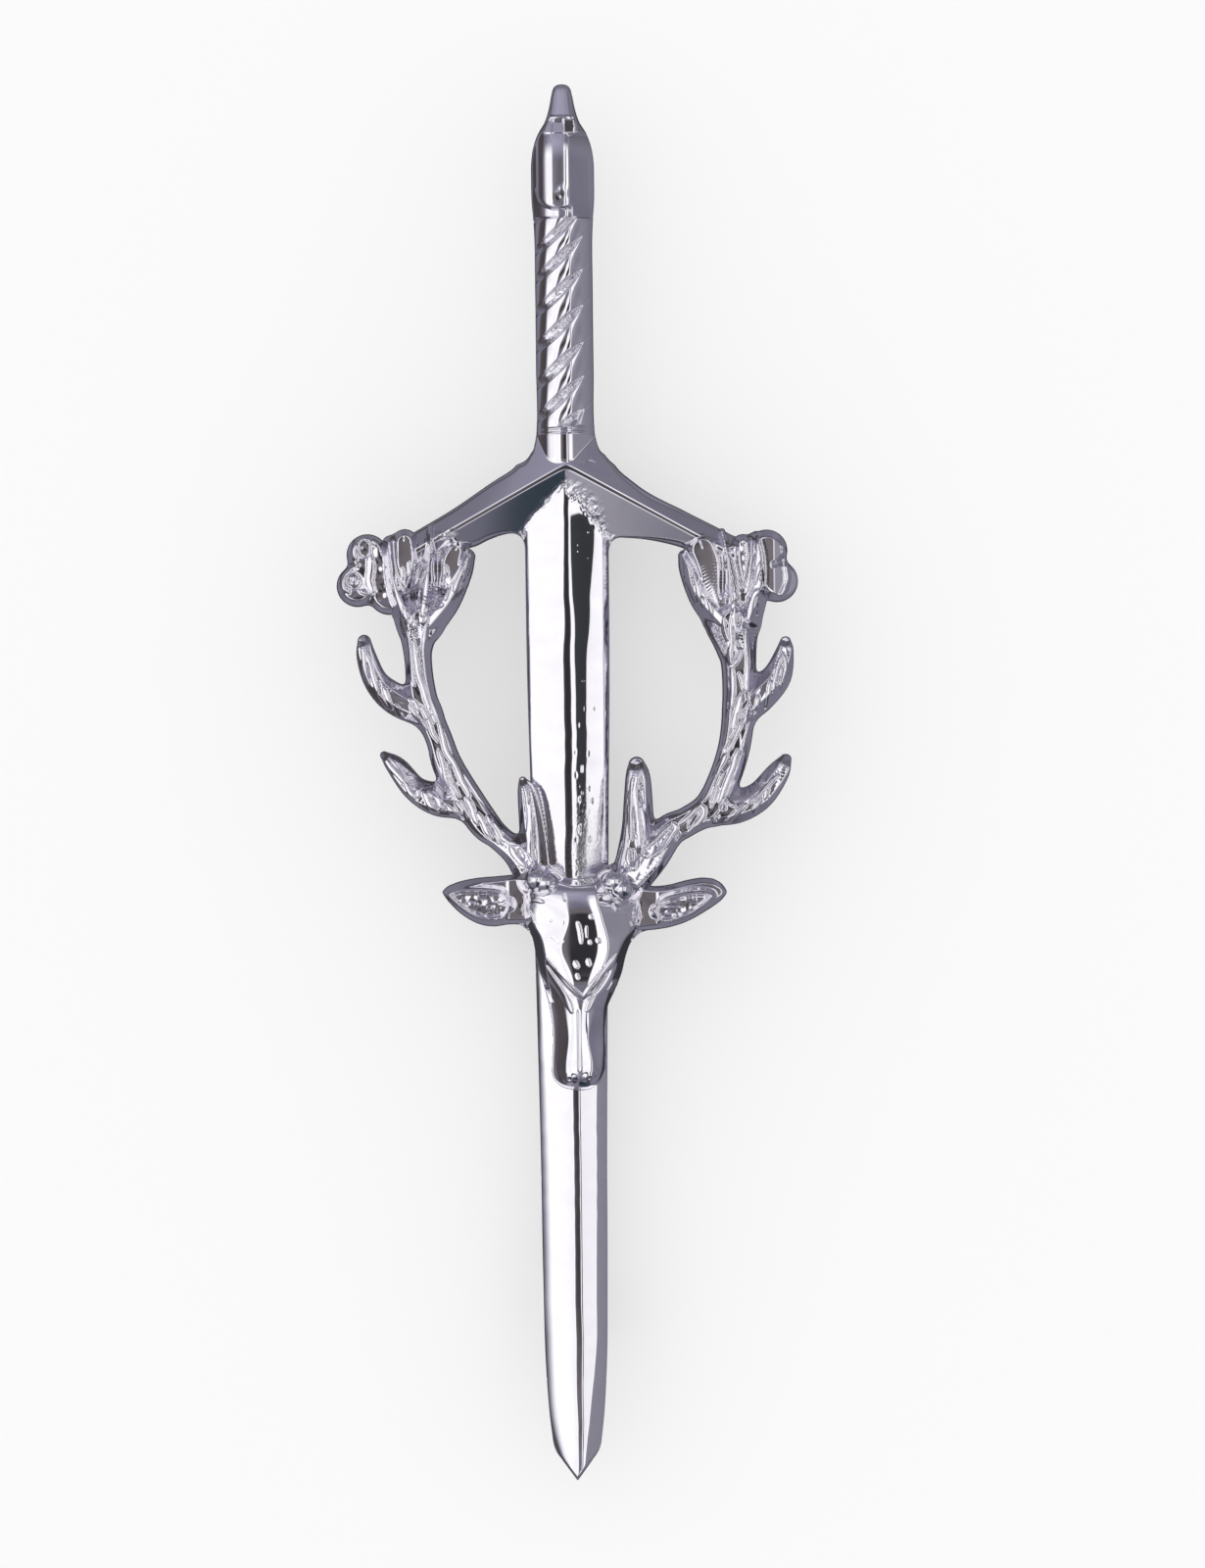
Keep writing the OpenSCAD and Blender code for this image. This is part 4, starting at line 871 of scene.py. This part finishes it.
# Sections of the face: y, places across, slopes
FACE = [
    (-22, (-1.3, -0.9, -0.6, -0.3, -0.1, 0.45, 0.8, 1, 1.2, 1.45, 1.7, 2),
     (-3, -1.6, -1.05, -0.5, -0.33, 0, 0.15, 0.2, 0.25, 1.05, 1.6, 3)),
    (-20.4, (-1.5, -1.3, -0.55, -0.4, 0, 0.45, 0.75, 1.05, 1.35, 1.5, 2.2, 2.35),
     (-5, -2.1, -1.5, -0.45, -0.2, -0.15, 0.16, 0.2, 0.25, 1.2, 1.5, 4)),
    (-18.5, (-1.4, -1.25, -0.35, -0.2, 0.1, 0.45, 0.7, 0.9, 1.1, 1.2, 2.25, 2.4),
     (-5, -2.1, -1.5, -0.4, -0.25, -0.17, 0.16, 0.2, 0.25, 1.2, 1.5, 4)),
    (-16.6, (-1.6, -1.4, -0.7, -0.35, 0.1, 0.5, 0.75, 1, 1.3, 1.6, 2.5, 2.65),
     (-5, -2.2, -1.6, -0.7, -0.25, -0.15, 0.16, 0.22, 0.8, 1.2, 1.5, 4)),
    (-14.6, (-2.1, -1.85, -1.2, -0.5, 0.1, 0.2, 1.1, 1.2, 1.7, 1.9, 3, 3.4),
     (-4, -2, -1.5, -0.6, -0.2, -0.015, 0.015, 0.16, 0.25, 0.85, 1.05, 3)),
    (-12, (-2.8, -2.6, -2.35, -0.85, -0.7, 0, 1.85, 1.95, 2.65, 2.75, 3.8, 4.1),
     (-4, -1.7, -0.5, -0.34, -0.1, -0.02, 0.015, 0.16, 0.25, 0.85, 0.98, 3)),
    (-9.8, (-3.5, -2.9, -2.4, -0.3, -0.15, -0.05, 1.6, 1.7, 2.2, 2.3, 4.4, 5.2),
     (-3, -1.3, -0.48, -0.32, -0.1, -0.03, 0.015, 0.16, 0.25, 0.85, 0.98, 2.5)),
    (-8.3, (-3.4, -2.9, -2, -0.9, -0.4, 0, 0.9, 1.3, 1.75, 1.9, 4.2, 5),
     (-2.2, -1.2, -0.4, -0.16, -0.11, -0.06, 0.05, 0.11, 0.18, 0.85, 0.95, 2)),
    (-6.9, (-3.3, -2.6, -2, -1, -0.5, 0, 0.9, 1.3, 1.7, 2, 3.5, 5),
     (-1.5, -0.8, -0.3, 0, 0.02, 0.03, 0.05, 0.07, 0.1, 0.5, 0.7, 1.5)),
]
# Raised lines of the face: half width, rise and points
FACE_LINES = [
    # Brows
    (0.17, 0.14, -2.75, -11.9, -2.1, -12.6, -1, -13.9, -0.2, -14.75, 0.45, -15.35, 0.8, -15.6),
    (0.17, 0.14, 4, -12.1, 3.2, -12.75, 2.5, -13.5, 1.9, -14.2, 1.25, -15, 0.8, -15.6),
    # Inner edges of the cheeks
    (0.2, 0.2, -2.25, -12.9, -1.85, -13.6, -1.25, -14.5, -0.75, -15.2, -0.3, -16, -0.05, -16.6),
    (0.22, 0.2, 3, -13.3, 2.75, -14.1, 2.2, -15, 1.5, -15.85, 1.1, -16.5),
    # Temples
    (0.18, 0.2, -3.3, -9, -3.05, -9.6, -2.85, -10.2),
    (0.12, 0.18, -3.2, -8.6, -2.6, -8.5, -2, -8.65),
    (0.16, 0.18, 3.1, -8.9, 3.4, -9.25),
    (0.15, 0.2, 4.5, -8.2, 4.75, -8.9, 4.6, -9.6),
    (0.12, 0.16, 4.4, -10.1, 4.6, -10.5),
    # Fillets under the burrs
    (0.08, 0.14, -2.7, -8.15, -2, -8.1, -1.4, -7.85, -1, -7.45),
    (0.08, 0.14, 3, -8.1, 3.4, -8.5, 3.9, -8.65),
]
# Eyes: half width, height at the middle, rise to the right, and points
EYES = [
    (0.19, 2.88, 0.38, -2, -15.05, -1.78, -15.45, -1.5, -15.95),
    (0.12, 4, -0.2, 2.9, -14.4, 2.72, -14.75, 2.5, -15.1),
]
# Tips of the burrs
BURRS = [(-2.5, -7), (-1.8, -7.25), (3.2, -7.2), (3.76, -7.75)]
NOSTRILS = [(-0.25, -21.5), (1.2, -21.45)]
# Small marks in the mirror of the forehead: half width, rise or depth, and points
FOREHEAD_LINES = [
    (0.17, 0.05, 0.45, -10.15, 0.6, -10.8, 0.7, -11.6), (0.06, 0.05, 1.1, -10.4, 1.12, -11.2),
    (0.12, 0.08, 1.4, -9.7, 1.5, -9.8), (0.14, 0.08, 1.9, -11.4, 2, -11.55),
    (0.1, 0.06, 1.3, -11.5, 1.35, -11.65), (0.17, 0.08, 0.25, -13.05, 0.4, -13.35),
    (0.17, 0.06, 1.15, -12.9, 1.25, -13.2), (0.12, 0.05, 0.35, -13.9, 0.45, -14.2),
]
FOREHEAD_PITS = [
    (0.06, 0.06, -1.65, -11.4, -1.45, -11.15, -1.2, -11.35, -0.95, -11.6, -0.6, -11.5),
    (0.1, 0.05, -1.5, -10.05, -1.3, -9.95), (0.06, 0.05, -0.5, -10.4, -0.45, -9.9),
    (0.1, 0.06, -0.45, -8, -0.4, -8.6),
]
# Upper and lower outline of each ear, and of its hollow
LEFT_EAR = [(-9.4, -7.85, -7.9), (-9.1, -7.55, -8.35), (-8.5, -7.25, -9.05),
            (-7.5, -6.98, -9.85), (-6.6, -6.85, -10.28), (-5.6, -6.78, -10.42),
            (-4.6, -6.7, -10.3), (-3.4, -6.6, -10.3), (-2.4, -6.6, -10.4)]
RIGHT_EAR = [(11.4, -8.05, -8.15), (11.1, -7.6, -8.55), (10.5, -7.18, -9.05),
             (9.8, -7.05, -9.5), (8.5, -7.2, -10.2), (7.2, -7.52, -10.62), (6.2, -7.62, -10.78),
             (5, -7.5, -10.9), (4, -7.4, -11.2)]
LEFT_HOLLOW = [(-8.75, -8.05, -8.2), (-8.1, -7.85, -8.8), (-7.3, -7.8, -9.4),
               (-6.3, -7.85, -9.75), (-5.4, -7.95, -9.8), (-4.9, -8.15, -9.6),
               (-4.6, -8.5, -9.15), (-4.5, -8.75, -8.85)]
RIGHT_HOLLOW = [(10.15, -8.35, -8.45), (9.6, -8.25, -8.9), (8.8, -8.25, -9.5),
                (7.9, -8.4, -9.9), (7.1, -8.6, -10.1), (6.6, -8.85, -10), (6.3, -9.15, -9.75),
                (6.2, -9.4, -9.5)]


def face_edge(x, y):
    """Distance out of the face, between its left and right outline, its top and its chin."""
    sides = either(table(y, FACE_LEFT) - x, x - table(y, FACE_RIGHT), 0.1) * 0.96
    chin = -22.38 + 0.35 * ((x - 0.5) / 1.6) ** 2 - y
    return either(either(sides, chin, 0.5), y - table(x, FACE_TOP), 0.3)


def between(x, y, rows, corner=0.15):
    """Distance out of a leaf shape whose rows hold x and its upper and lower outline."""
    first, last = sorted((rows[0][0], rows[-1][0]))
    above, under = y - table(x, rows), table(x, rows, 2) - y
    return either(either(above, under, 0.05) * 0.93, np.maximum(first - x, x - last), corner)


def ear_edge(x, y):
    """Distance out of the two ears."""
    return np.minimum(between(x, y, LEFT_EAR), between(x, y, RIGHT_EAR))


def mask_edge(x, y):
    """Distance out of face and ears in one outline."""
    return both(face_edge(x, y), ear_edge(x, y), 0.9)


def ear_height(x, y):
    """Ears: broad smooth sides up to a thin rim, and inside it a steep wall and a rough floor."""
    out = ear_edge(x, y)
    hollow = np.minimum(between(x, y, LEFT_HOLLOW), between(x, y, RIGHT_HOLLOW))
    far = np.minimum(between(x, y, LEFT_HOLLOW, 0.7), between(x, y, RIGHT_HOLLOW, 0.7)) - 0.12
    front = 2.8 - np.clip(far, 0, 0.4) - 0.1 * np.maximum(far - 0.4, 0)
    sides = both(wall(out, 1.4, 2.6), front, 0.1)
    rim = 0.16 * hump(hollow, 0.09, 0.15)
    tips = 0.10 * spot(x, y, -9.0, -8.25, 0.3) + 0.10 * spot(x, y, 10.35, -8.35, 0.3)
    ends = 0.08 * hump(hollow, 0.16, 0.26) * (hump(x, -4.3, 0.6) + hump(x, 6.1, 0.6))
    inside = ramp(-hollow, -0.02, 0.2)
    bottom = 2.1 - 0.05 * (y + 9.0) + 0.06 * lumps(x, 2.4 * y, 0.6, 92) + 0.02 * grains(x, y, 91)
    z = (sides + rim + tips + ends) * (1 - inside) + bottom * inside
    return z, 0.3 * ramp(-hollow, 0.12, 0.3)


def face_height(x, y):
    """Face: sections cut to their slopes from the height of the middle line outwards, with raised
    brows and nose ridges, and small marks in the flat of the forehead."""
    z = table(y, FACE_LINE) + carved(x, y, FACE) - carved(0 * x + HEAD_X, y, FACE)
    brow = np.where(x < 0.8, -15.6 - 1.08 * (x - 0.8), -15.6 + 1.05 * (x - 0.8))
    z = z - 0.30 * ramp(brow - y, -0.05, 0.12) * ramp(y, -16.8, -15.4)
    z = z - 0.10 * hump(x, 0.47, 0.13) * ramp(-y, 16.4, 16.8) * ramp(y, -21.0, -20.6)
    mark, _ = pits(x, y, FOREHEAD_PITS)
    line = welts(x, y, FOREHEAD_LINES + FACE_LINES)
    z = either(z - mark, z + line, 0.02)
    for middle_x, middle_y in NOSTRILS:
        away = np.hypot((x - middle_x) / 1.1, y - middle_y)
        z = z + 0.24 * hump(away, 0, 0.55) - 0.16 * hump(away, 0, 0.22)
    return z


def mask_height(x, y):
    """Front of the head: face, ears, eyes and the burrs, each of which is two blunt cones."""
    out = mask_edge(x, y)
    z = both(face_height(x, y), wall(face_edge(x, y), 1.45 + 0.75 * ramp(-y, 14, 18), 5.0), 0.25)
    ears, rough = ear_height(x, y)
    rough = rough * (ears > z) * (ear_edge(x, y) < 0.1)
    z = either(z, np.where(ear_edge(x, y) < 0.3, ears, ABSENT), 0.35)
    for half, middle, tilt, *points in EYES:
        rows = tapered(points, half, 0.4)
        eye = stroke(x, y, np.column_stack([rows, 0 * rows[:, 2]]), 1)[0]
        pad = middle + tilt * (x - points[2]) - 4 * np.maximum(eye, 0)
        z = either(z, np.where(eye < 0.4, pad, ABSENT), 0.05)
    for middle_x, middle_y in BURRS:
        away = np.hypot(x - middle_x, y - middle_y)
        tip = np.sqrt(away ** 2 + 0.1) - 0.316
        cone = 5.2 - 1.15 * tip - 2.5 * np.maximum(away - 0.6, 0) ** 2
        z = either(z, np.where(away < 1.5, cone, ABSENT), 0.12)
    temple = (hump(np.hypot((x + 3.1) / 0.9, (y + 9.2) / 1.5), 0, 1.0)
              + hump(np.hypot((x - 4.5) / 0.9, (y + 9.3) / 1.8), 0, 1.0))
    temple = np.clip(1.4 * temple, 0, 1)
    z = z + 0.03 * temple * lumps(x, y, 0.33, 66)
    return either(z, both(0.9 - 2.6 * out, 1.6 + 0 * x, 0.5), 0.2), np.maximum(rough, 0.5 * temple)


# Finishes

def fill(tree, node, inputs):
    """Sets a node's inputs: a socket is linked to its input, and any other value is stored."""
    for name, value in inputs.items():
        if isinstance(value, bpy.types.NodeSocket):
            tree.links.new(value, node.inputs[name])
        else:
            node.inputs[name].default_value = value


def add(tree, kind, inputs=None, **settings):
    """A new shader node of that kind, with its settings and then its inputs."""
    node = tree.nodes.new("ShaderNode" + kind)
    for name, value in settings.items():
        setattr(node, name, value)
    fill(tree, node, inputs or {})
    return node


def new_material(name, inputs):
    """A material whose main shader has these inputs. They are worked out from its node tree."""
    material = bpy.data.materials.new(name)
    material.use_nodes = True
    tree = material.node_tree
    fill(tree, tree.nodes["Principled BSDF"], inputs(tree))
    return material


def chrome(tree, colour, gloss):
    """Bright chrome plate. Where the point attribute grain is high the metal keeps its as-cast
    grain, and elsewhere it has only the faint ripple that polishing leaves. A fine stain makes
    it a little darker in places."""
    place = add(tree, "TexCoord").outputs["Object"]
    grain = add(tree, "Attribute", attribute_name="grain").outputs["Fac"]
    sand, ripple, stain = [
        add(tree, "TexNoise", {"Vector": place, "Scale": scale, "Detail": detail,
                               "Roughness": rough}).outputs["Fac"]
        for scale, detail, rough in ((5200.0, 3.0, 0.6), (420.0, 2.0, 0.5), (900.0, 4.0, 0.5))]
    stained = [c * f for c, f in zip(colour, STAIN_SHARE)]
    tint = add(tree, "Mix", {"Factor": stain, "A": (*colour, 1), "B": (*stained, 1)},
               data_type="RGBA")
    soften = add(tree, "MapRange", {"Value": grain, "To Min": gloss, "To Max": GRAIN_GLOSS})
    rough = add(tree, "Bump", {"Distance": GRAIN_DEPTH, "Strength": grain, "Height": sand})
    polish = add(tree, "Bump", {"Distance": RIPPLE_DEPTH, "Strength": 0.35, "Height": ripple,
                                "Normal": rough.outputs["Normal"]})
    return {"Metallic": 1.0, "Base Color": tint.outputs["Result"],
            "Roughness": soften.outputs["Result"], "Normal": polish.outputs["Normal"]}


# Share of the plate's colour that is left where it is stained, roughness of the as-cast grain,
# and depths of the grain and of the polish's ripple in metres
STAIN_SHARE = (0.90, 0.88, 0.93)
GRAIN_GLOSS = 0.12
GRAIN_DEPTH = 0.00003
RIPPLE_DEPTH = 0.00002
plate = new_material("chrome_plate", partial(chrome, colour=(0.80, 0.79, 0.82), gloss=0.06))
steel = new_material("plated_steel", partial(chrome, colour=(0.74, 0.74, 0.76), gloss=0.12))


# Pieces

antlers = {side: over_sword(partial(antler_edge, side), partial(antler_height, side))
           for side in (-1, 1)}
head = over_sword(mask_edge, mask_height)
# Sizes of the grid's squares, and half widths of the guard's and the blade's grids
FINE, MIDDLE, COARSE = 0.05, 0.07, 0.16
GUARD_HALF, BLADE_HALF = 17.2, 3.25
guard_xs = np.concatenate([steps(-GUARD_HALF, -BLADE_HALF, MIDDLE)[:-1],
                           steps(-BLADE_HALF, BLADE_HALF, 0.058),
                           steps(BLADE_HALF, GUARD_HALF, MIDDLE)[1:]])
guard_ys = np.concatenate([steps(-51.0, 12.0, COARSE)[:-1], steps(12.0, HILT_START, 0.06)])
antler_ys = steps(-9.6, 19.8, FINE)
pieces = [
    relief("hilt", steps(-2.5, 2.5, FINE), steps(HILT_START, 51.1, FINE),
           lambda x, y: np.maximum(hilt_edge(x, y), HILT_START - y), hilt_height),
    relief("guard_and_blade", guard_xs, guard_ys, guard_edge, sword_height),
    relief("left_antler", steps(-16.2, -0.2, FINE), antler_ys, *antlers[-1], back=0.02),
    relief("right_antler", steps(1.8, 17.6, FINE), antler_ys, *antlers[1], back=0.02),
    relief("stag_head", steps(-9.6, 11.6, FINE), steps(-22.9, -5.2, FINE), *head, back=0.04),
]
for piece in pieces:
    piece.data.materials.append(plate)
    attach(piece, "root")
    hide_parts("sword_casting")
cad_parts["brooch_pin"].data.materials.clear()
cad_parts["brooch_pin"].data.materials.append(steel)


# Floor, light and camera

# In metres
FLOOR_RADIUS = 4


def floor():
    """A plain pale round floor on the plane that the brooch pin's feet stand on. It glows with
    painted light of its own, though it is no lamp, which lightens the shadows in the windows and
    keeps them soft."""
    around = np.linspace(0, 2 * np.pi, 65)[:-1]
    mesh = bpy.data.meshes.new("floor")
    ring = FLOOR_RADIUS * np.column_stack([np.cos(around), np.sin(around), 0 * around])
    mesh.from_pydata(ring.tolist(), [], [list(range(len(ring)))])
    # Its emission is painted light: the floor glows to lighten the shadows under the casting.
    mesh.materials.append(new_material("pale_glowing_floor", lambda tree: {
        "Base Color": (0.42, 0.42, 0.42, 1), "Roughness": 0.9, "Specular IOR Level": 0.0,
        "Emission Color": (1, 1, 1, 1), "Emission Strength": 0.48}))
    made = put("floor", mesh)
    made.visible_glossy = False


def studio():
    """The room that the metal mirrors, as colours over the slope of a surface that mirrors them
    straight up: across is that slope to the right, and along is that slope towards the pommel.
    The camera and the floor see one plain pale colour instead."""
    world = bpy.data.worlds.new("studio")
    bpy.context.scene.world = world
    world.use_nodes = True
    tree = world.node_tree
    tree.nodes.clear()

    def math(operation, a, b=0.0):
        return add(tree, "Math", {0: a, 1: b}, operation=operation).outputs[0]

    def rise(value, start, end):
        return add(tree, "MapRange", {
            "Value": value, "From Min": min(start, end), "From Max": max(start, end),
            "To Min": float(start > end), "To Max": float(start < end),
        }, interpolation_type="SMOOTHSTEP").outputs["Result"]

    place = add(tree, "TexCoord").outputs["Generated"]
    split = add(tree, "SeparateXYZ", {0: place})
    tall = math("MAXIMUM", math("ADD", split.outputs["Z"], 1.0), 0.01)
    across = math("DIVIDE", split.outputs["X"], tall)
    along = math("DIVIDE", split.outputs["Y"], tall)
    slope = math("SQRT", math("ADD", math("MULTIPLY", across, across),
                              math("MULTIPLY", along, along)))
    # Each layer's colour, and the steps between the slopes where it is absent and present
    layers = [
        # Light wall on the right, and the darker one past it at the pommel's end
        ((0.333, 0.327, 0.377), (across, 0.5, 0.75), (across, 1.25, 0.95), (along, -0.8, -0.5),
         (along, 0.7, 0.4)),
        ((0.163, 0.162, 0.183), (across, 0.2, 0.6), (along, 0.3, 0.7), (slope, 1.0, 1.3),
         (slope, 2.6, 2.0)),
        # Light above the pommel's end of the room, and the wall at the left of the point's end
        ((0.386, 0.375, 0.47), (along, 0.15, 0.35), (across, 0.4, 0.0), (slope, 0.98, 0.62)),
        ((0.39, 0.385, 0.43), (along, -0.35, -0.5), (across, 0.1, -0.1), (slope, 1.0, 0.68)),
        # Dark cloth at the point's end
        ((0.029, 0.047, 0.057), (along, -0.38, -0.8), (across, -0.1, 0.1), (slope, 1.15, 0.95)),
        # Shade all round but on the right
        ((0.088, 0.078, 0.08), (slope, 1.05, 1.3), (slope, 2.5, 1.9), (across, 0.7, 0.1)),
        # The large white light on the left and the smaller one on the right
        ((1.3, 1.3, 1.3), (across, -0.08, -0.15), (across, -1.1, -0.62), (along, 0.5, 0.2),
         (along, -0.6, -0.3)),
        ((1.3, 1.3, 1.3), (across, 0.07, 0.14), (across, 0.70, 0.60), (along, 0.5, 0.3),
         (along, -0.5, -0.3)),
        # A dark gap in the light on the right
        ((0.055, 0.06, 0.065), (across, 0.26, 0.29), (across, 0.44, 0.41), (along, 0.4, 0.3),
         (along, -0.4, -0.3)),
        # The camera overhead, and its lens
        ((0.195, 0.178, 0.185), (slope, 0.13, 0.10)),
        ((0.035, 0.034, 0.038), (slope, 0.08, 0.015)),
        # The shade under the casting
        ((0.05, 0.048, 0.058), (slope, 3.2, 5.0)),
    ]
    colour = (0.225, 0.218, 0.272, 1)
    for tone, *bounds in layers:
        mask = rise(*bounds[0])
        for bound in bounds[1:]:
            mask = math("MULTIPLY", mask, rise(*bound))
        colour = add(tree, "Mix", {"Factor": mask, "A": colour, "B": (*tone, 1)},
                     data_type="RGBA").outputs["Result"]
    # Uneven light, so that no wall of the room is one flat tone
    cloud = add(tree, "TexNoise", {"Scale": 2.2, "Detail": 1.0, "Vector": place})
    strength = add(tree, "MapRange", {"Value": cloud.outputs["Fac"], "From Min": 0.25,
                                      "From Max": 0.75, "To Min": 0.78, "To Max": 1.22})
    room = add(tree, "Background", {"Color": colour, "Strength": strength.outputs["Result"]})
    plain = add(tree, "Background", {"Color": (1.06, 1.06, 1.07, 1)})
    seen = add(tree, "LightPath").outputs
    choice = add(tree, "MixShader", {
        "Fac": math("MAXIMUM", seen["Is Camera Ray"], seen["Is Diffuse Ray"]),
        1: room.outputs[0], 2: plain.outputs[0]})
    add(tree, "OutputWorld", {"Surface": choice.outputs[0]})


def lamp(name, energy, angle, turn):
    """A wide soft sun that lights the floor and leaves no spot in the metal."""
    light = bpy.data.lights.new(name, "SUN")
    light.energy = energy
    light.angle = angle
    made = put(name, light)
    made.rotation_euler = turn
    made.visible_glossy = False


floor()
studio()
lamp("soft_sun", 0.35, 1.2, (-0.35, -0.45, 0.0))

# The photo's height in pixels, its pixels to the millimetre, and the slope that its sword leans by
PHOTO_HEIGHT, PIXELS = 1600, 14.0
LEAN = 0.0117
# The photo's middle in this frame, and how far over the casting's back its scale holds
MIDDLE_X, MIDDLE_Y = 2.395, -0.135
SCALE_LEVEL = 1.0
# The camera's distance from that level
DISTANCE = 600.0
camera = bpy.data.cameras.new("camera")
camera.sensor_width = 36.0
camera.lens = camera.sensor_width * DISTANCE / (PHOTO_HEIGHT / PIXELS)
camera.clip_start = 0.05
camera.clip_end = 20.0
viewer = put("camera", camera)
viewer.location = (MIDDLE_X * MM, MIDDLE_Y * MM, (BACK + SCALE_LEVEL + DISTANCE) * MM)
viewer.rotation_euler = (0, 0, -np.arctan(LEAN))
bpy.context.scene.camera = viewer
bpy.context.scene.view_settings.view_transform = "Standard"

bpy.context.view_layer.update()
